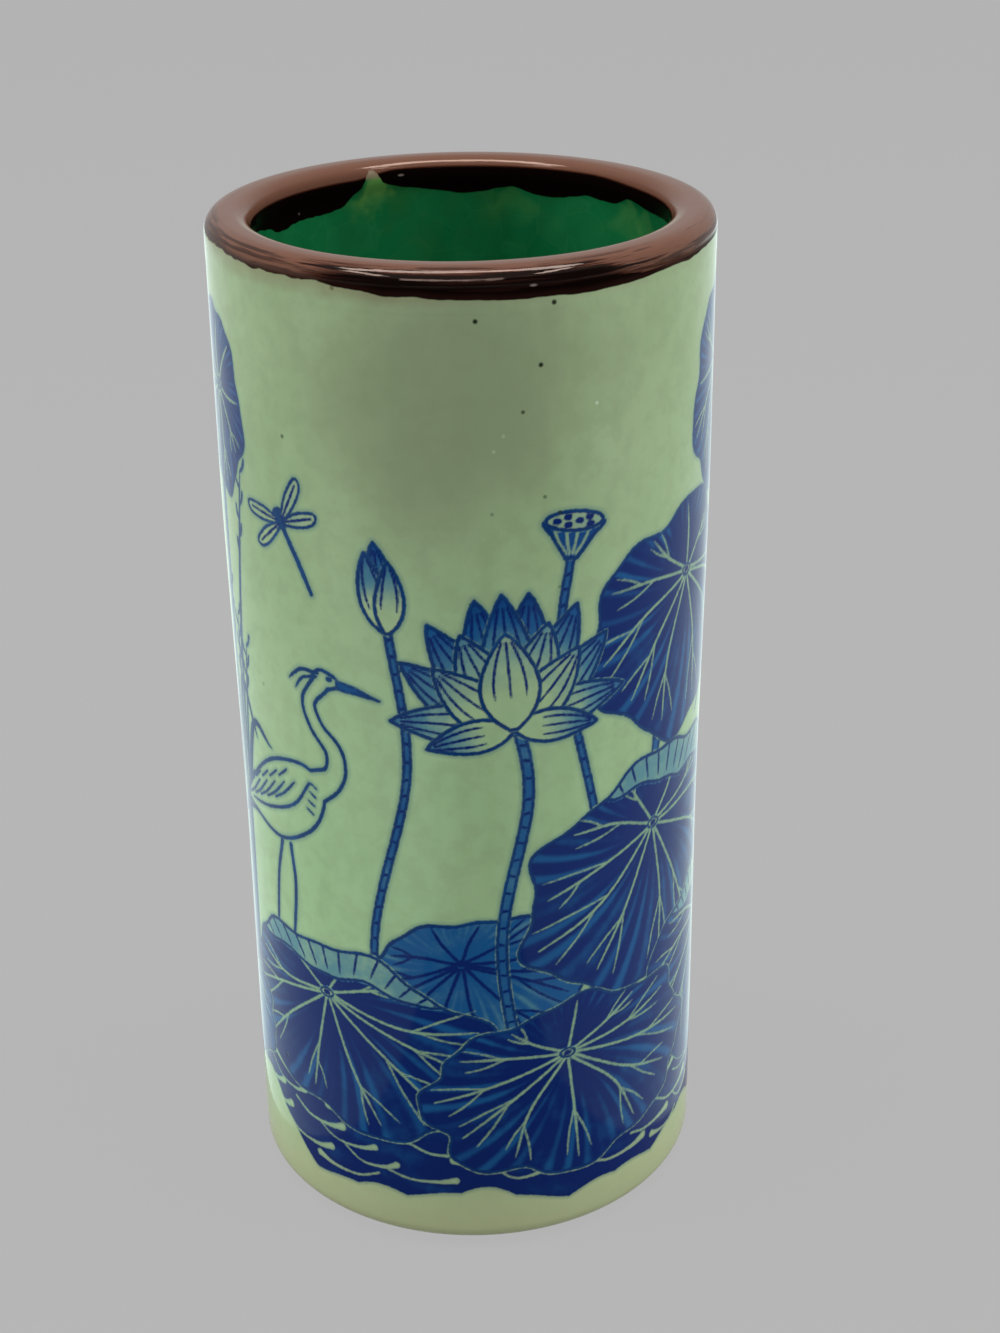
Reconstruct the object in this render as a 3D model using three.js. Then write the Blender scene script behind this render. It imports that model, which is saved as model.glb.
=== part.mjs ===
// A cylindrical porcelain brush pot: a round wall luted onto a base slab with a low foot ring,
// and four coats of glaze, celadon outside, green inside, brown over the lip and clear underneath.
// Millimetres, +Z up, the origin on the table under the middle of the foot.
import * as THREE from "three";

// Overall sizes, measured over the glaze
const TOTAL_HEIGHT = 150.5;
const OUTER_DIAMETER = 70;
const WALL_THICKNESS = 5.8;
const LIP_OVERHANG = 0.5;

// The outside is straight above the shoulder and below the waist, and draws in between them
const SHOULDER_DEPTH = 33;
const WAIST_HEIGHT = 54;
const DRAW_IN = 0.8;

// The clay under the glaze
const SLAB_THICKNESS = 5.2;
const SLAB_EDGE_RADIUS = 2.4;
const LIP_CROWN_HEIGHT = 2.4;
const LIP_SQUARENESS = 2.6;
const LIP_BEAD_DEPTH = 1.4;
const FOOT_HEIGHT = 1.2;
const FOOT_WIDTH = 4.4;
const FOOT_STEP = 0.3;
const FOOT_CHAMFER = 0.4;

// The coats of glaze
const CELADON_THICKNESS = 0.45;
const GREEN_THICKNESS = 0.45;
const BROWN_THICKNESS = 0.45;
const BASE_COAT_THICKNESS = 0.35;
const CORNER_FILLET = 3.5;
const BASE_COAT_MARGIN = 1.2;

// How far the brown glaze hangs below the lip's shoulder outside and below its bead inside,
// how far each edge wanders up and down, and the hairline between two coats
const BROWN_SKIRT_HANG = 0.05;
const BROWN_SKIRT_WANDER = 0.35;
const BROWN_INNER_HANG = 0.35;
const BROWN_INNER_WANDER = 0.9;
const GLAZE_SEAM = 0.05;

// How finely round shapes are cut up
const SEGMENTS = 72;
const ARC_STEPS = 4;

// Radii and heights that follow from the sizes above
const outerRadius = OUTER_DIAMETER / 2;
const baseRadius = outerRadius - DRAW_IN;
const clayRadius = outerRadius - CELADON_THICKNESS;
const clayBaseRadius = baseRadius - CELADON_THICKNESS;
const shoulderHeight = TOTAL_HEIGHT - SHOULDER_DEPTH;
const bore = outerRadius - WALL_THICKNESS;
const mouth = bore - LIP_OVERHANG;
const clayBore = bore + GREEN_THICKNESS;
const clayMouth = mouth + BROWN_THICKNESS;
const clayTop = TOTAL_HEIGHT - BROWN_THICKNESS;
const slabBottom = FOOT_HEIGHT;
const slabTop = slabBottom + SLAB_THICKNESS;
const lipShoulder = clayTop - LIP_CROWN_HEIGHT;
const beadBottom = lipShoulder - LIP_BEAD_DEPTH;
const footOuter = clayBaseRadius - SLAB_EDGE_RADIUS - FOOT_STEP;
const footInner = footOuter - FOOT_WIDTH;
const skirtHeight = lipShoulder - BROWN_SKIRT_HANG - BROWN_SKIRT_WANDER;
const celadonHeight = skirtHeight - GLAZE_SEAM;
const reachHeight = beadBottom - BROWN_INNER_HANG - BROWN_INNER_WANDER;
const greenHeight = reachHeight - GLAZE_SEAM;

const clayMaterial = new THREE.MeshStandardMaterial({ color: 0xd8d2c2, roughness: 0.85 });
const celadonMaterial = new THREE.MeshStandardMaterial({ color: 0x9fb187, roughness: 0.12 });
const greenMaterial = new THREE.MeshStandardMaterial({ color: 0x0f6a35, roughness: 0.12 });
const brownMaterial = new THREE.MeshStandardMaterial({ color: 0x4a2620, roughness: 0.1 });

// Points of an arc of an ellipse about (centreX, centreY), from one angle to another in degrees
function arc(centreX, centreY, radiusX, radiusY, from, to, steps = ARC_STEPS) {
  const curve = new THREE.EllipseCurve(
    centreX,
    centreY,
    radiusX,
    radiusY,
    THREE.MathUtils.degToRad(from),
    THREE.MathUtils.degToRad(to),
    to < from,
  );
  return curve.getPoints(steps);
}

// A solid of revolution about Z from a section of (radius, height) points
function revolve(section) {
  const points = section.map((p) => (p.isVector2 ? p : new THREE.Vector2(...p)));
  return new THREE.LatheGeometry(points, SEGMENTS).rotateX(Math.PI / 2);
}

// Moves the section's points that stand at one height up and down round the pot
function wander(geometry, height, offsetAt) {
  const position = geometry.getAttribute("position");
  for (let i = 0; i < position.count; i += 1) {
    if (Math.abs(position.getZ(i) - height) < 1e-4) {
      const turn = Math.atan2(position.getY(i), position.getX(i));
      position.setZ(i, height + offsetAt(turn));
    }
  }
  return geometry;
}

// The two wandering edges of the brown glaze, as offsets that repeat once round the pot
const skirtWander = (turn) =>
  BROWN_SKIRT_WANDER * (0.5 * Math.sin(3 * turn + 0.6) + 0.3 * Math.sin(7 * turn) + 0.2 * Math.sin(13 * turn));
const reachWander = (turn) =>
  BROWN_INNER_WANDER * (0.5 * Math.sin(2 * turn + 1.1) + 0.3 * Math.sin(5 * turn) + 0.2 * Math.sin(9 * turn));

// The lip's rounded crown, from the outside over the top, for the clay or for the glaze on it.
// A squareness of 2 would make it half an ellipse; above that it is flatter on top.
function lipOutline(radius, mouthRadius, crownHeight) {
  const halfWidth = (radius - mouthRadius) / 2;
  const steps = 3 * ARC_STEPS;
  const points = [];
  for (let i = 0; i <= steps; i += 1) {
    const turn = (Math.PI * i) / steps;
    const across = Math.sign(Math.cos(turn)) * Math.abs(Math.cos(turn)) ** (2 / LIP_SQUARENESS);
    const rise = Math.sin(turn) ** (2 / LIP_SQUARENESS);
    points.push([mouthRadius + halfWidth * (1 + across), lipShoulder + crownHeight * rise]);
  }
  return points;
}

function clayWall() {
  return revolve([
    [clayBore, slabTop],
    [clayBaseRadius, slabTop],
    [clayBaseRadius, WAIST_HEIGHT],
    [clayRadius, shoulderHeight],
    ...lipOutline(clayRadius, clayMouth, LIP_CROWN_HEIGHT),
    [clayBore, beadBottom],
    [clayBore, slabTop],
  ]);
}

function baseSlab() {
  return revolve([
    [0, slabBottom],
    ...slabEdge(clayBaseRadius),
    [clayBaseRadius, slabTop],
    [0, slabTop],
  ]);
}

// The slab's rounded lower edge, from the underside outwards and up, for the clay or for the glaze on it
function slabEdge(radius) {
  const centreRadius = clayBaseRadius - SLAB_EDGE_RADIUS;
  const edgeRadius = radius - centreRadius;
  return arc(centreRadius, slabBottom + SLAB_EDGE_RADIUS, edgeRadius, edgeRadius, -90, 0);
}

function footRing() {
  return revolve([
    [footInner, slabBottom],
    [footInner, FOOT_CHAMFER],
    [footInner + FOOT_CHAMFER, 0],
    [footOuter - FOOT_CHAMFER, 0],
    [footOuter, FOOT_CHAMFER],
    [footOuter, slabBottom],
    [footInner, slabBottom],
  ]);
}

function celadonGlaze() {
  const coat = revolve([
    [clayRadius, celadonHeight],
    [clayRadius, shoulderHeight],
    [clayBaseRadius, WAIST_HEIGHT],
    ...slabEdge(clayBaseRadius).reverse(),
    ...slabEdge(baseRadius),
    [baseRadius, WAIST_HEIGHT],
    [outerRadius, shoulderHeight],
    [outerRadius, celadonHeight],
    [clayRadius, celadonHeight],
  ]);
  return wander(coat, celadonHeight, skirtWander);
}

function brownGlaze() {
  const coat = revolve([
    [clayRadius, skirtHeight],
    [outerRadius, skirtHeight],
    ...lipOutline(outerRadius, mouth, LIP_CROWN_HEIGHT + BROWN_THICKNESS),
    [bore, beadBottom],
    [bore, reachHeight],
    [clayBore, reachHeight],
    [clayBore, beadBottom],
    ...lipOutline(clayRadius, clayMouth, LIP_CROWN_HEIGHT).reverse(),
    [clayRadius, skirtHeight],
  ]);
  wander(coat, skirtHeight, skirtWander);
  return wander(coat, reachHeight, reachWander);
}

function greenGlaze() {
  const floor = slabTop + GREEN_THICKNESS;
  const coat = revolve([
    [0, slabTop],
    [clayBore, slabTop],
    [clayBore, greenHeight],
    [bore, greenHeight],
    ...arc(bore - CORNER_FILLET, floor + CORNER_FILLET, CORNER_FILLET, CORNER_FILLET, 0, -90),
    [0, floor],
  ]);
  return wander(coat, greenHeight, reachWander);
}

function baseGlaze() {
  return revolve([
    [0, slabBottom - BASE_COAT_THICKNESS],
    [footInner - BASE_COAT_MARGIN, slabBottom - BASE_COAT_THICKNESS],
    [footInner - BASE_COAT_MARGIN, slabBottom],
    [0, slabBottom],
  ]);
}

function piece(name, geometry, material) {
  const mesh = new THREE.Mesh(geometry, material);
  mesh.name = name;
  return mesh;
}

const pot = new THREE.Group();
pot.add(
  piece("clay_wall", clayWall(), clayMaterial),
  piece("base_slab", baseSlab(), clayMaterial),
  piece("foot_ring", footRing(), clayMaterial),
  piece("celadon_glaze", celadonGlaze(), celadonMaterial),
  piece("brown_rim_glaze", brownGlaze(), brownMaterial),
  piece("green_inner_glaze", greenGlaze(), greenMaterial),
  piece("base_glaze", baseGlaze(), celadonMaterial),
);

export default pot;
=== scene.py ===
"""A porcelain brush pot with a cobalt print under celadon glaze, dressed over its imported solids.

Metres, +Z up, the origin on the table under the middle of the foot, the camera on the -Y side.
"""
import math

import bmesh
import bpy
import numpy as np
from mathutils import Matrix, Vector


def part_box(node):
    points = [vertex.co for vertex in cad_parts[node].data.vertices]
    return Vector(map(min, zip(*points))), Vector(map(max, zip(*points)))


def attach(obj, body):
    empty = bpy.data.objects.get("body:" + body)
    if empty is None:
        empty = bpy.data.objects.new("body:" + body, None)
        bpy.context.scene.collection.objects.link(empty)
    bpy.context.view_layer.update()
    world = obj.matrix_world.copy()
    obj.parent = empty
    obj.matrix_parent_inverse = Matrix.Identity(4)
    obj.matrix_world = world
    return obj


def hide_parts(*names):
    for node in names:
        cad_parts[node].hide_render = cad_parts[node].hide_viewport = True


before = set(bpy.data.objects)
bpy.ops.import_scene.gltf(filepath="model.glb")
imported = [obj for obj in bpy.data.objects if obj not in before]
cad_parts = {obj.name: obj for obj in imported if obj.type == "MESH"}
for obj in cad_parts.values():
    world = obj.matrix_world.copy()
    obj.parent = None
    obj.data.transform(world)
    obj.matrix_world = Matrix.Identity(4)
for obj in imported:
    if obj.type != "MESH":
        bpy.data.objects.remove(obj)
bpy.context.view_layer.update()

# The camera stands close in front of the pot and looks down over the lip into the mouth.
CAMERA_DISTANCE = 0.30606
CAMERA_HEIGHT = 0.22258
CAMERA_PITCH = 0.4343
CAMERA_YAW = 0.01506
CAMERA_ROLL = -0.01244
CAMERA_LENS = 60.92
SENSOR_WIDTH = 36
CLIP_START = 0.01

camera_data = bpy.data.cameras.new("camera")
camera_data.lens = CAMERA_LENS
camera_data.sensor_width = SENSOR_WIDTH
camera_data.clip_start = CLIP_START
camera = bpy.data.objects.new("camera", camera_data)
camera.matrix_world = (
    Matrix.Translation((0, -CAMERA_DISTANCE, CAMERA_HEIGHT))
    @ Matrix.Rotation(-CAMERA_YAW, 4, "Z")
    @ Matrix.Rotation(math.pi / 2 - CAMERA_PITCH, 4, "X")
    @ Matrix.Rotation(CAMERA_ROLL, 4, "Z")
)
bpy.context.collection.objects.link(camera)
bpy.context.scene.camera = camera
bpy.context.scene.view_settings.view_transform = "Standard"


# The studio is a grey sheet in a room that is bright low down behind the pot and dark low down in front
# of it. Most of the sheet's look is its own even grey; the rest of it takes light and shadow.
FLOOR_HALF = 4.0
FLOOR_SEEN = (0.468, 0.468, 0.468, 1)
FLOOR_LIT = (0.36, 0.36, 0.36, 1)
FLOOR_EVENNESS = 0.94
FLOOR_ROUGHNESS = 0.9
CARD_TINT = (0.80, 1.00, 0.97)
WHITE = (1, 1, 1, 1)
ROOM_BEHIND = 0.45
ROOM_ABOVE = 0.38
ROOM_FRONT = 0.05

# Where the room's bright and dark parts fade in, along unit vectors: y runs back and z runs up
BRIGHT_BACK, BRIGHT_DOWN = (0.2, 0.8), (0.60, 0.30)
DARK_FRONT, DARK_DOWN = (-0.1, -0.5), (0.62, 0.45)


def new_material(name):
    """Return a node material, its tree and its Principled shader."""
    material = bpy.data.materials.new(name)
    material.use_nodes = True
    tree = material.node_tree
    return material, tree, tree.nodes["Principled BSDF"]


def feed(value, socket):
    """Link an output to an input, or set the input to a value."""
    if isinstance(value, bpy.types.NodeSocket):
        value.id_data.links.new(value, socket)
    else:
        socket.default_value = value


def add_node(tree, kind, sockets=(), **settings):
    """Add a node, set its properties, and set or link its inputs by name or number."""
    node = tree.nodes.new(kind)
    for name, value in settings.items():
        setattr(node, name, value)
    for name, value in dict(sockets).items():
        feed(value, node.inputs[name])
    return node


def follow(kind, sockets, **settings):
    """Add a node to the tree that its linked inputs come from."""
    tree = next(value.id_data for value in sockets.values() if isinstance(value, bpy.types.NodeSocket))
    return add_node(tree, kind, sockets, **settings)


def ease(value, low, high, start=0.0, end=1.0):
    """Map a value from one range to another with a smooth step."""
    sockets = {0: value, 1: low, 2: high, 3: start, 4: end}
    return follow("ShaderNodeMapRange", sockets, interpolation_type="SMOOTHSTEP").outputs[0]


def calculate(operation, first, second=0.0):
    """One step of arithmetic on values or sockets."""
    return follow("ShaderNodeMath", {0: first, 1: second}, operation=operation).outputs[0]


def times(first, *others):
    """The product of values or sockets."""
    for other in others:
        first = calculate("MULTIPLY", first, other)
    return first


def plus(first, *others):
    """The sum of values or sockets."""
    for other in others:
        first = calculate("ADD", first, other)
    return first


def axes(vector):
    """The three parts of a vector."""
    return follow("ShaderNodeSeparateXYZ", {0: vector}).outputs


def link_mesh(name, points, faces, material):
    """Make an object of a mesh, smooth all over, with one material."""
    mesh = bpy.data.meshes.new(name)
    mesh.from_pydata(points, [], faces)
    mesh.shade_smooth()
    mesh.materials.append(material)
    made = bpy.data.objects.new(name, mesh)
    bpy.context.collection.objects.link(made)
    return made


floor_material, floor_tree, floor_shader = new_material("studio_sheet")
floor_shader.inputs["Base Color"].default_value = FLOOR_LIT
floor_shader.inputs["Roughness"].default_value = FLOOR_ROUGHNESS
floor_shader.inputs["Specular IOR Level"].default_value = 0.0
floor_ray = add_node(floor_tree, "ShaderNodeLightPath").outputs
floor_shown = calculate("MAXIMUM", floor_ray["Is Glossy Ray"], floor_ray["Is Transmission Ray"])
floor_shown = calculate("MAXIMUM", floor_ray["Is Camera Ray"], floor_shown)
floor_grey = add_node(floor_tree, "ShaderNodeEmission", {"Color": FLOOR_SEEN, "Strength": 1.0}).outputs[0]
floor_mix = follow(
    "ShaderNodeMixShader", {0: times(floor_shown, FLOOR_EVENNESS), 1: floor_shader.outputs[0], 2: floor_grey}
)
feed(floor_mix.outputs[0], floor_tree.nodes["Material Output"].inputs["Surface"])
floor_corners = [(FLOOR_HALF * x, FLOOR_HALF * y, 0) for x, y in ((-1, -1), (1, -1), (1, 1), (-1, 1))]
floor = link_mesh("floor", floor_corners, [(0, 1, 2, 3)], floor_material)

world = bpy.data.worlds.new("studio")
world.use_nodes = True
bpy.context.scene.world = world
world_tree = world.node_tree
_, world_back, world_up = axes(add_node(world_tree, "ShaderNodeTexCoord").outputs["Generated"])
room_bright = times(ease(world_back, *BRIGHT_BACK), ease(world_up, *BRIGHT_DOWN))
room_dark = times(ease(world_back, *DARK_FRONT), ease(world_up, *DARK_DOWN))
room_level = plus(
    ease(room_bright, 0.0, 1.0, ROOM_ABOVE, ROOM_BEHIND),
    ease(room_dark, 0.0, 1.0, 0.0, ROOM_FRONT - ROOM_ABOVE),
)
room_shown = add_node(world_tree, "ShaderNodeLightPath").outputs["Is Camera Ray"]
room_light = world_tree.nodes["Background"].inputs
room_light["Color"].default_value = WHITE
feed(ease(room_shown, 0.0, 1.0, room_level, FLOOR_SEEN[0]), room_light["Strength"])


def soft_box(name, place, aim, size, power, mirrored=True, tint=(1, 1, 1)):
    """Hang a rectangular lamp at a place, turned to face a point, out of the camera's sight."""
    lamp = bpy.data.lights.new(name, "AREA")
    lamp.color = tint
    lamp.shape = "RECTANGLE"
    lamp.size, lamp.size_y = size
    lamp.energy = power
    holder = bpy.data.objects.new(name, lamp)
    facing = (Vector(place) - Vector(aim)).to_track_quat("Z", "Y").to_matrix().to_4x4()
    holder.matrix_world = Matrix.Translation(place) @ facing
    holder.visible_camera = False
    holder.visible_glossy = mirrored
    bpy.context.collection.objects.link(holder)


# Two boxes light the sides without showing in the glaze, a frame of four strips overhead draws the two
# lines along the lip that meet at their ends, and two cards on the sheet show as the pale line down each
# side of the pot.
soft_box("left_box", (-0.75, -0.12, 0.35), (0, 0, 0.08), (0.6, 0.8), 2.5, mirrored=False)
soft_box("right_box", (0.75, -0.12, 0.35), (0, 0, 0.08), (0.6, 0.8), 3.1, mirrored=False)
soft_box("top_strip", (-0.02, 0.00, 0.95), (-0.02, 0.00, 0), (0.90, 0.22), 6.2)
soft_box("left_strip", (-0.56, -0.40, 0.95), (-0.56, -0.40, 0), (0.12, 0.50), 2.0)
soft_box("right_strip", (0.52, -0.38, 0.95), (0.52, -0.38, 0), (0.10, 0.44), 1.7)
soft_box("front_strip", (-0.10, -1.25, 0.95), (0, 0, 0.15), (1.10, 0.20), 3.4)
soft_box("left_card", (-0.34, 0.22, 0.002), (-0.34, 0.22, 1), (0.60, 0.90), 1.55, tint=CARD_TINT)
soft_box("right_card", (0.34, 0.22, 0.002), (0.34, 0.22, 1), (0.60, 0.90), 1.45, tint=CARD_TINT)


# The body is a pale fine stoneware clay: a thrown wall with a slab and a foot ring luted on before firing.
# It shows bare only on the foot ring, where the glaze was wiped off.
CLAY_PALE = (0.60, 0.52, 0.40, 1)
CLAY_DARK = (0.36, 0.29, 0.21, 1)
CLAY_ROUGHNESS = 0.85
CLAY_BUMP, CLAY_RELIEF = 0.5, 0.0001


def blend(factor, first, second):
    """Mix two colours, each a value or a socket, and return the output."""
    return follow("ShaderNodeMix", {0: factor, 6: first, 7: second}, data_type="RGBA").outputs[2]


def own_place(tree):
    """Where a point lies on its own piece."""
    return add_node(tree, "ShaderNodeTexCoord").outputs["Object"]


def noise(place, scale, detail, roughness=0.5, distortion=0.0):
    """Smooth noise at a place, mostly between 0.3 and 0.7."""
    sockets = {"Scale": scale, "Detail": detail, "Roughness": roughness, "Distortion": distortion}
    return follow("ShaderNodeTexNoise", {"Vector": place, **sockets}).outputs[0]


def emboss(shader, height, strength, relief):
    """Raise a shader's surface by a height."""
    bump = follow("ShaderNodeBump", {"Height": height, "Strength": strength, "Distance": relief})
    feed(bump.outputs[0], shader.inputs["Normal"])


clay_material, clay_tree, clay_shader = new_material("bare_clay")
clay_place = own_place(clay_tree)
clay_grain = noise(clay_place, scale=900, detail=4)
clay_stain = noise(clay_place, scale=70, detail=3)
feed(blend(times(clay_grain, clay_stain), CLAY_PALE, CLAY_DARK), clay_shader.inputs["Base Color"])
clay_shader.inputs["Roughness"].default_value = CLAY_ROUGHNESS
emboss(clay_shader, clay_grain, CLAY_BUMP, CLAY_RELIEF)
for clay_part in ("clay_wall", "base_slab", "foot_ring"):
    for clay_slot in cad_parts[clay_part].material_slots:
        clay_slot.material = clay_material


# The celadon coat is a glossy grey-green glaze, poured on and fired: it is greyer near the lip, runs in
# faint streaks, pools olive at the foot and is pricked with dark iron spots and pale pinholes. A reflection
# of the dark room in front is painted on it as a grey cloud high on the front.
CELADON_HIGH = (0.275, 0.345, 0.200, 1)
CELADON_LOW = (0.300, 0.452, 0.246, 1)
CELADON_STREAK = (0.215, 0.315, 0.155, 1)
CELADON_THIN = (0.360, 0.460, 0.275, 1)
CELADON_MOTTLE_AND_DARK_REFLECTION = (0.190, 0.225, 0.130, 1)
CELADON_POOL = (0.445, 0.480, 0.272, 1)
IRON_SPOT = (0.012, 0.018, 0.008, 1)
PINHOLE = (0.46, 0.54, 0.40, 1)
STREAK_SHARE = 0.55
THIN_SHARE = 0.40
MOTTLE_RANGE, MOTTLE_SHARE = (0.38, 0.68), 0.21
DARK_REFLECTION_EDGE, DARK_REFLECTION_SHARE = (1.25, 0.25), 0.62
SMALL_SPOT_SHARE = 0.40
SPOT_CORE = 0.35
SPOT_DENT = 0.25
GLAZE_SPECULAR = 0.08
GLAZE_ROUGHNESS = (0.07, 0.14)
GLAZE_BUMP, GLAZE_RELIEF = 0.3, 0.0007
CELADON_THICKNESS = 0.00045
GREY_HEIGHTS = (0.070, 0.140)
POOL_HEIGHTS, POOL_SHARE = (0.020, 0.003), 0.80
WAIST_HEIGHT = 0.054
SHOULDER_HEIGHT = 0.1175
DRAW_IN = 0.0008
EDGE_ROUND = 0.00285
PRINT_BOTTOM = 0.0060
NOISE_RANGE = (0.3, 0.7)

celadon_low, celadon_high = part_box("celadon_glaze")
WALL_RADIUS = celadon_high.x
FOOT_RADIUS = WALL_RADIUS - DRAW_IN


def wall_radius(height):
    """The outside radius over the glaze: it draws in gently between the shoulder and the waist."""
    rise = min(max((height - WAIST_HEIGHT) / (SHOULDER_HEIGHT - WAIST_HEIGHT), 0), 1)
    return FOOT_RADIUS + (WALL_RADIUS - FOOT_RADIUS) * rise * rise * (3 - 2 * rise)


def new_tree(name, kind, inputs, outputs):
    """Start a node tree with named sockets; return it, what comes in and what goes out."""
    tree = bpy.data.node_groups.new(name, kind)
    for label, socket_kind, *value in inputs:
        socket = tree.interface.new_socket(label, in_out="INPUT", socket_type=socket_kind)
        if value:
            socket.default_value = value[0]
    for label, socket_kind in outputs:
        tree.interface.new_socket(label, in_out="OUTPUT", socket_type=socket_kind)
    return tree, tree.nodes.new("NodeGroupInput").outputs, tree.nodes.new("NodeGroupOutput").inputs


def point(x, y, z=0.0):
    """A vector of three parts."""
    return follow("ShaderNodeCombineXYZ", {0: x, 1: y, 2: z}).outputs[0]


# Runs of thick and thin glaze, drawn out down the wall, as a tone from 0 to 1 and a ripple height
FINE_RUNS = 7.0
BROAD_SHARE = 0.78
TONE_RANGE = (0.34, 0.66)

runs_group, runs_in, runs_out = new_tree(
    "glaze_runs",
    "ShaderNodeTree",
    [("Vector", "NodeSocketVector"), ("Scale", "NodeSocketFloat", 60.0), ("Stretch", "NodeSocketFloat", 0.3)],
    [("Tone", "NodeSocketFloat"), ("Ripple", "NodeSocketFloat")],
)
runs_x, runs_y, runs_z = axes(runs_in["Vector"])
runs_drawn = point(runs_x, runs_y, times(runs_z, runs_in["Stretch"]))
runs_broad = noise(runs_drawn, runs_in["Scale"], detail=4, roughness=0.55, distortion=0.4)
runs_fine = noise(runs_drawn, times(runs_in["Scale"], FINE_RUNS), detail=3, roughness=0.6)
runs_sum = plus(times(runs_broad, BROAD_SHARE), times(runs_fine, 1 - BROAD_SHARE))
feed(ease(runs_sum, *TONE_RANGE), runs_out["Tone"])
feed(runs_broad, runs_out["Ripple"])

# Scattered spots: one in a share of the cells carries a round spot of its own size
SPOT_EDGE = (1.2, 0.5)
SMALLEST_SPOT = 0.5

spots_group, spots_in, spots_out = new_tree(
    "glaze_spots",
    "ShaderNodeTree",
    [
        ("Vector", "NodeSocketVector"),
        ("Per Metre", "NodeSocketFloat", 200.0),
        ("Share", "NodeSocketFloat", 0.1),
        ("Size", "NodeSocketFloat", 0.1),
    ],
    [("Mask", "NodeSocketFloat")],
)
spots_cells = follow(
    "ShaderNodeTexVoronoi", {"Vector": spots_in["Vector"], "Scale": spots_in["Per Metre"]}
).outputs
spots_pick = follow("ShaderNodeSeparateColor", {0: spots_cells["Color"]}).outputs
spots_chosen = calculate("LESS_THAN", spots_pick[0], spots_in["Share"])
spots_wide = times(spots_in["Size"], plus(spots_pick[1], SMALLEST_SPOT))
spots_round = ease(calculate("DIVIDE", spots_cells["Distance"], spots_wide), *SPOT_EDGE)
feed(times(spots_chosen, spots_round), spots_out["Mask"])


def use_group(group, place, **sockets):
    """Use a node group at a place, with its own values, and return its outputs."""
    named = {name.replace("_", " "): value for name, value in sockets.items()}
    return follow("ShaderNodeGroup", {"Vector": place, **named}, node_tree=group).outputs


# Where a soft grey cloud, a painted reflection of the dark room in front, hangs on the glaze of the front,
# and where single spots and pinholes show: degrees round from the front, height, size and strength
DARK_REFLECTION_PLACE = (0.001, -0.035, 0.1345)
DARK_REFLECTION_REACH = (0.0205, 0.018, 0.0165)
DARK_REFLECTION_FRAY = 0.25
SPOT_PLACES = (
    (2.5, 0.1439, 0.00045, 1.0),
    (16.1, 0.1378, 0.00045, 1.0),
    (19.0, 0.1457, 0.00048, 1.0),
    (12.2, 0.1318, 0.00038, 0.8),
    (16.9, 0.1201, 0.00038, 0.6),
    (20.3, 0.1177, 0.00040, 0.7),
    (5.4, 0.1183, 0.00036, 0.4),
    (-27.6, 0.1474, 0.00045, 0.7),
    (-43.0, 0.1262, 0.00040, 0.7),
)
PIT_PLACES = ((29.0, 0.1317, 0.00036, 0.8), (5.9, 0.1268, 0.00034, 0.3), (8.0, 0.1288, 0.00034, 0.3))


def round_place(degrees, radius, height=0.0):
    """A place at a radius and height, so many degrees round from the middle of the front."""
    return (radius * math.sin(math.radians(degrees)), -radius * math.cos(math.radians(degrees)), height)


def distance(place, centre):
    """How far a place is from another, in metres."""
    return follow("ShaderNodeVectorMath", {0: place, 1: centre}, operation="DISTANCE").outputs["Value"]


def oval_distance(place, centre, reach):
    """How far a place is from a centre, in shares of a reach along each axis."""
    way = follow("ShaderNodeVectorMath", {0: place, 1: centre}, operation="SUBTRACT").outputs[0]
    share = follow("ShaderNodeVectorMath", {0: way, 1: reach}, operation="DIVIDE").outputs[0]
    return follow("ShaderNodeVectorMath", {0: share}, operation="LENGTH").outputs["Value"]


def all_spots(place, spots, scattered):
    """A mask of single round spots on the wall, each at its own place, among faint scattered ones."""
    mask = 0.0
    for degrees, height, size, strength in spots:
        away = distance(place, round_place(degrees, WALL_RADIUS, height))
        mask = calculate("MAXIMUM", mask, ease(away, size, size * SPOT_CORE, 0.0, strength))
    return calculate("MAXIMUM", times(scattered, SMALL_SPOT_SHARE), mask)


def celadon_tint(place):
    """The celadon glaze's colour at a place, with a painted reflection of the dark room on the front, the
    ripple of its clouds and its dark spots.
    """
    height = axes(place)[2]
    streak_tone, streak_ripple = use_group(runs_group, place, Scale=55.0, Stretch=0.12)
    thin_tone, thin_ripple = use_group(runs_group, place, Scale=24.0, Stretch=0.9)
    colour = blend(ease(height, *GREY_HEIGHTS), CELADON_LOW, CELADON_HIGH)
    colour = blend(times(streak_tone, STREAK_SHARE), colour, CELADON_STREAK)
    colour = blend(times(thin_tone, THIN_SHARE), colour, CELADON_THIN)
    mottle = noise(place, scale=330.0, detail=3, roughness=0.6)
    colour = blend(ease(mottle, *MOTTLE_RANGE, 0.0, MOTTLE_SHARE), colour, CELADON_MOTTLE_AND_DARK_REFLECTION)
    # The grey cloud high on the front is a painted reflection of the dark room in front of the pot.
    dark_reflection_edge = plus(
        oval_distance(place, DARK_REFLECTION_PLACE, DARK_REFLECTION_REACH),
        ease(streak_ripple, *NOISE_RANGE, -DARK_REFLECTION_FRAY, DARK_REFLECTION_FRAY),
        ease(thin_ripple, *NOISE_RANGE, -DARK_REFLECTION_FRAY, DARK_REFLECTION_FRAY),
    )
    colour = blend(ease(dark_reflection_edge, *DARK_REFLECTION_EDGE, 0.0, DARK_REFLECTION_SHARE), colour, CELADON_MOTTLE_AND_DARK_REFLECTION)
    colour = blend(ease(height, *POOL_HEIGHTS, 0.0, POOL_SHARE), colour, CELADON_POOL)
    pale = use_group(spots_group, place, Per_Metre=150.0, Share=0.05, Size=0.05)["Mask"]
    colour = blend(all_spots(place, PIT_PLACES, pale), colour, PINHOLE)
    dark = use_group(spots_group, place, Per_Metre=170.0, Share=0.12, Size=0.055)["Mask"]
    return colour, thin_ripple, all_spots(place, SPOT_PLACES, dark)


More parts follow.
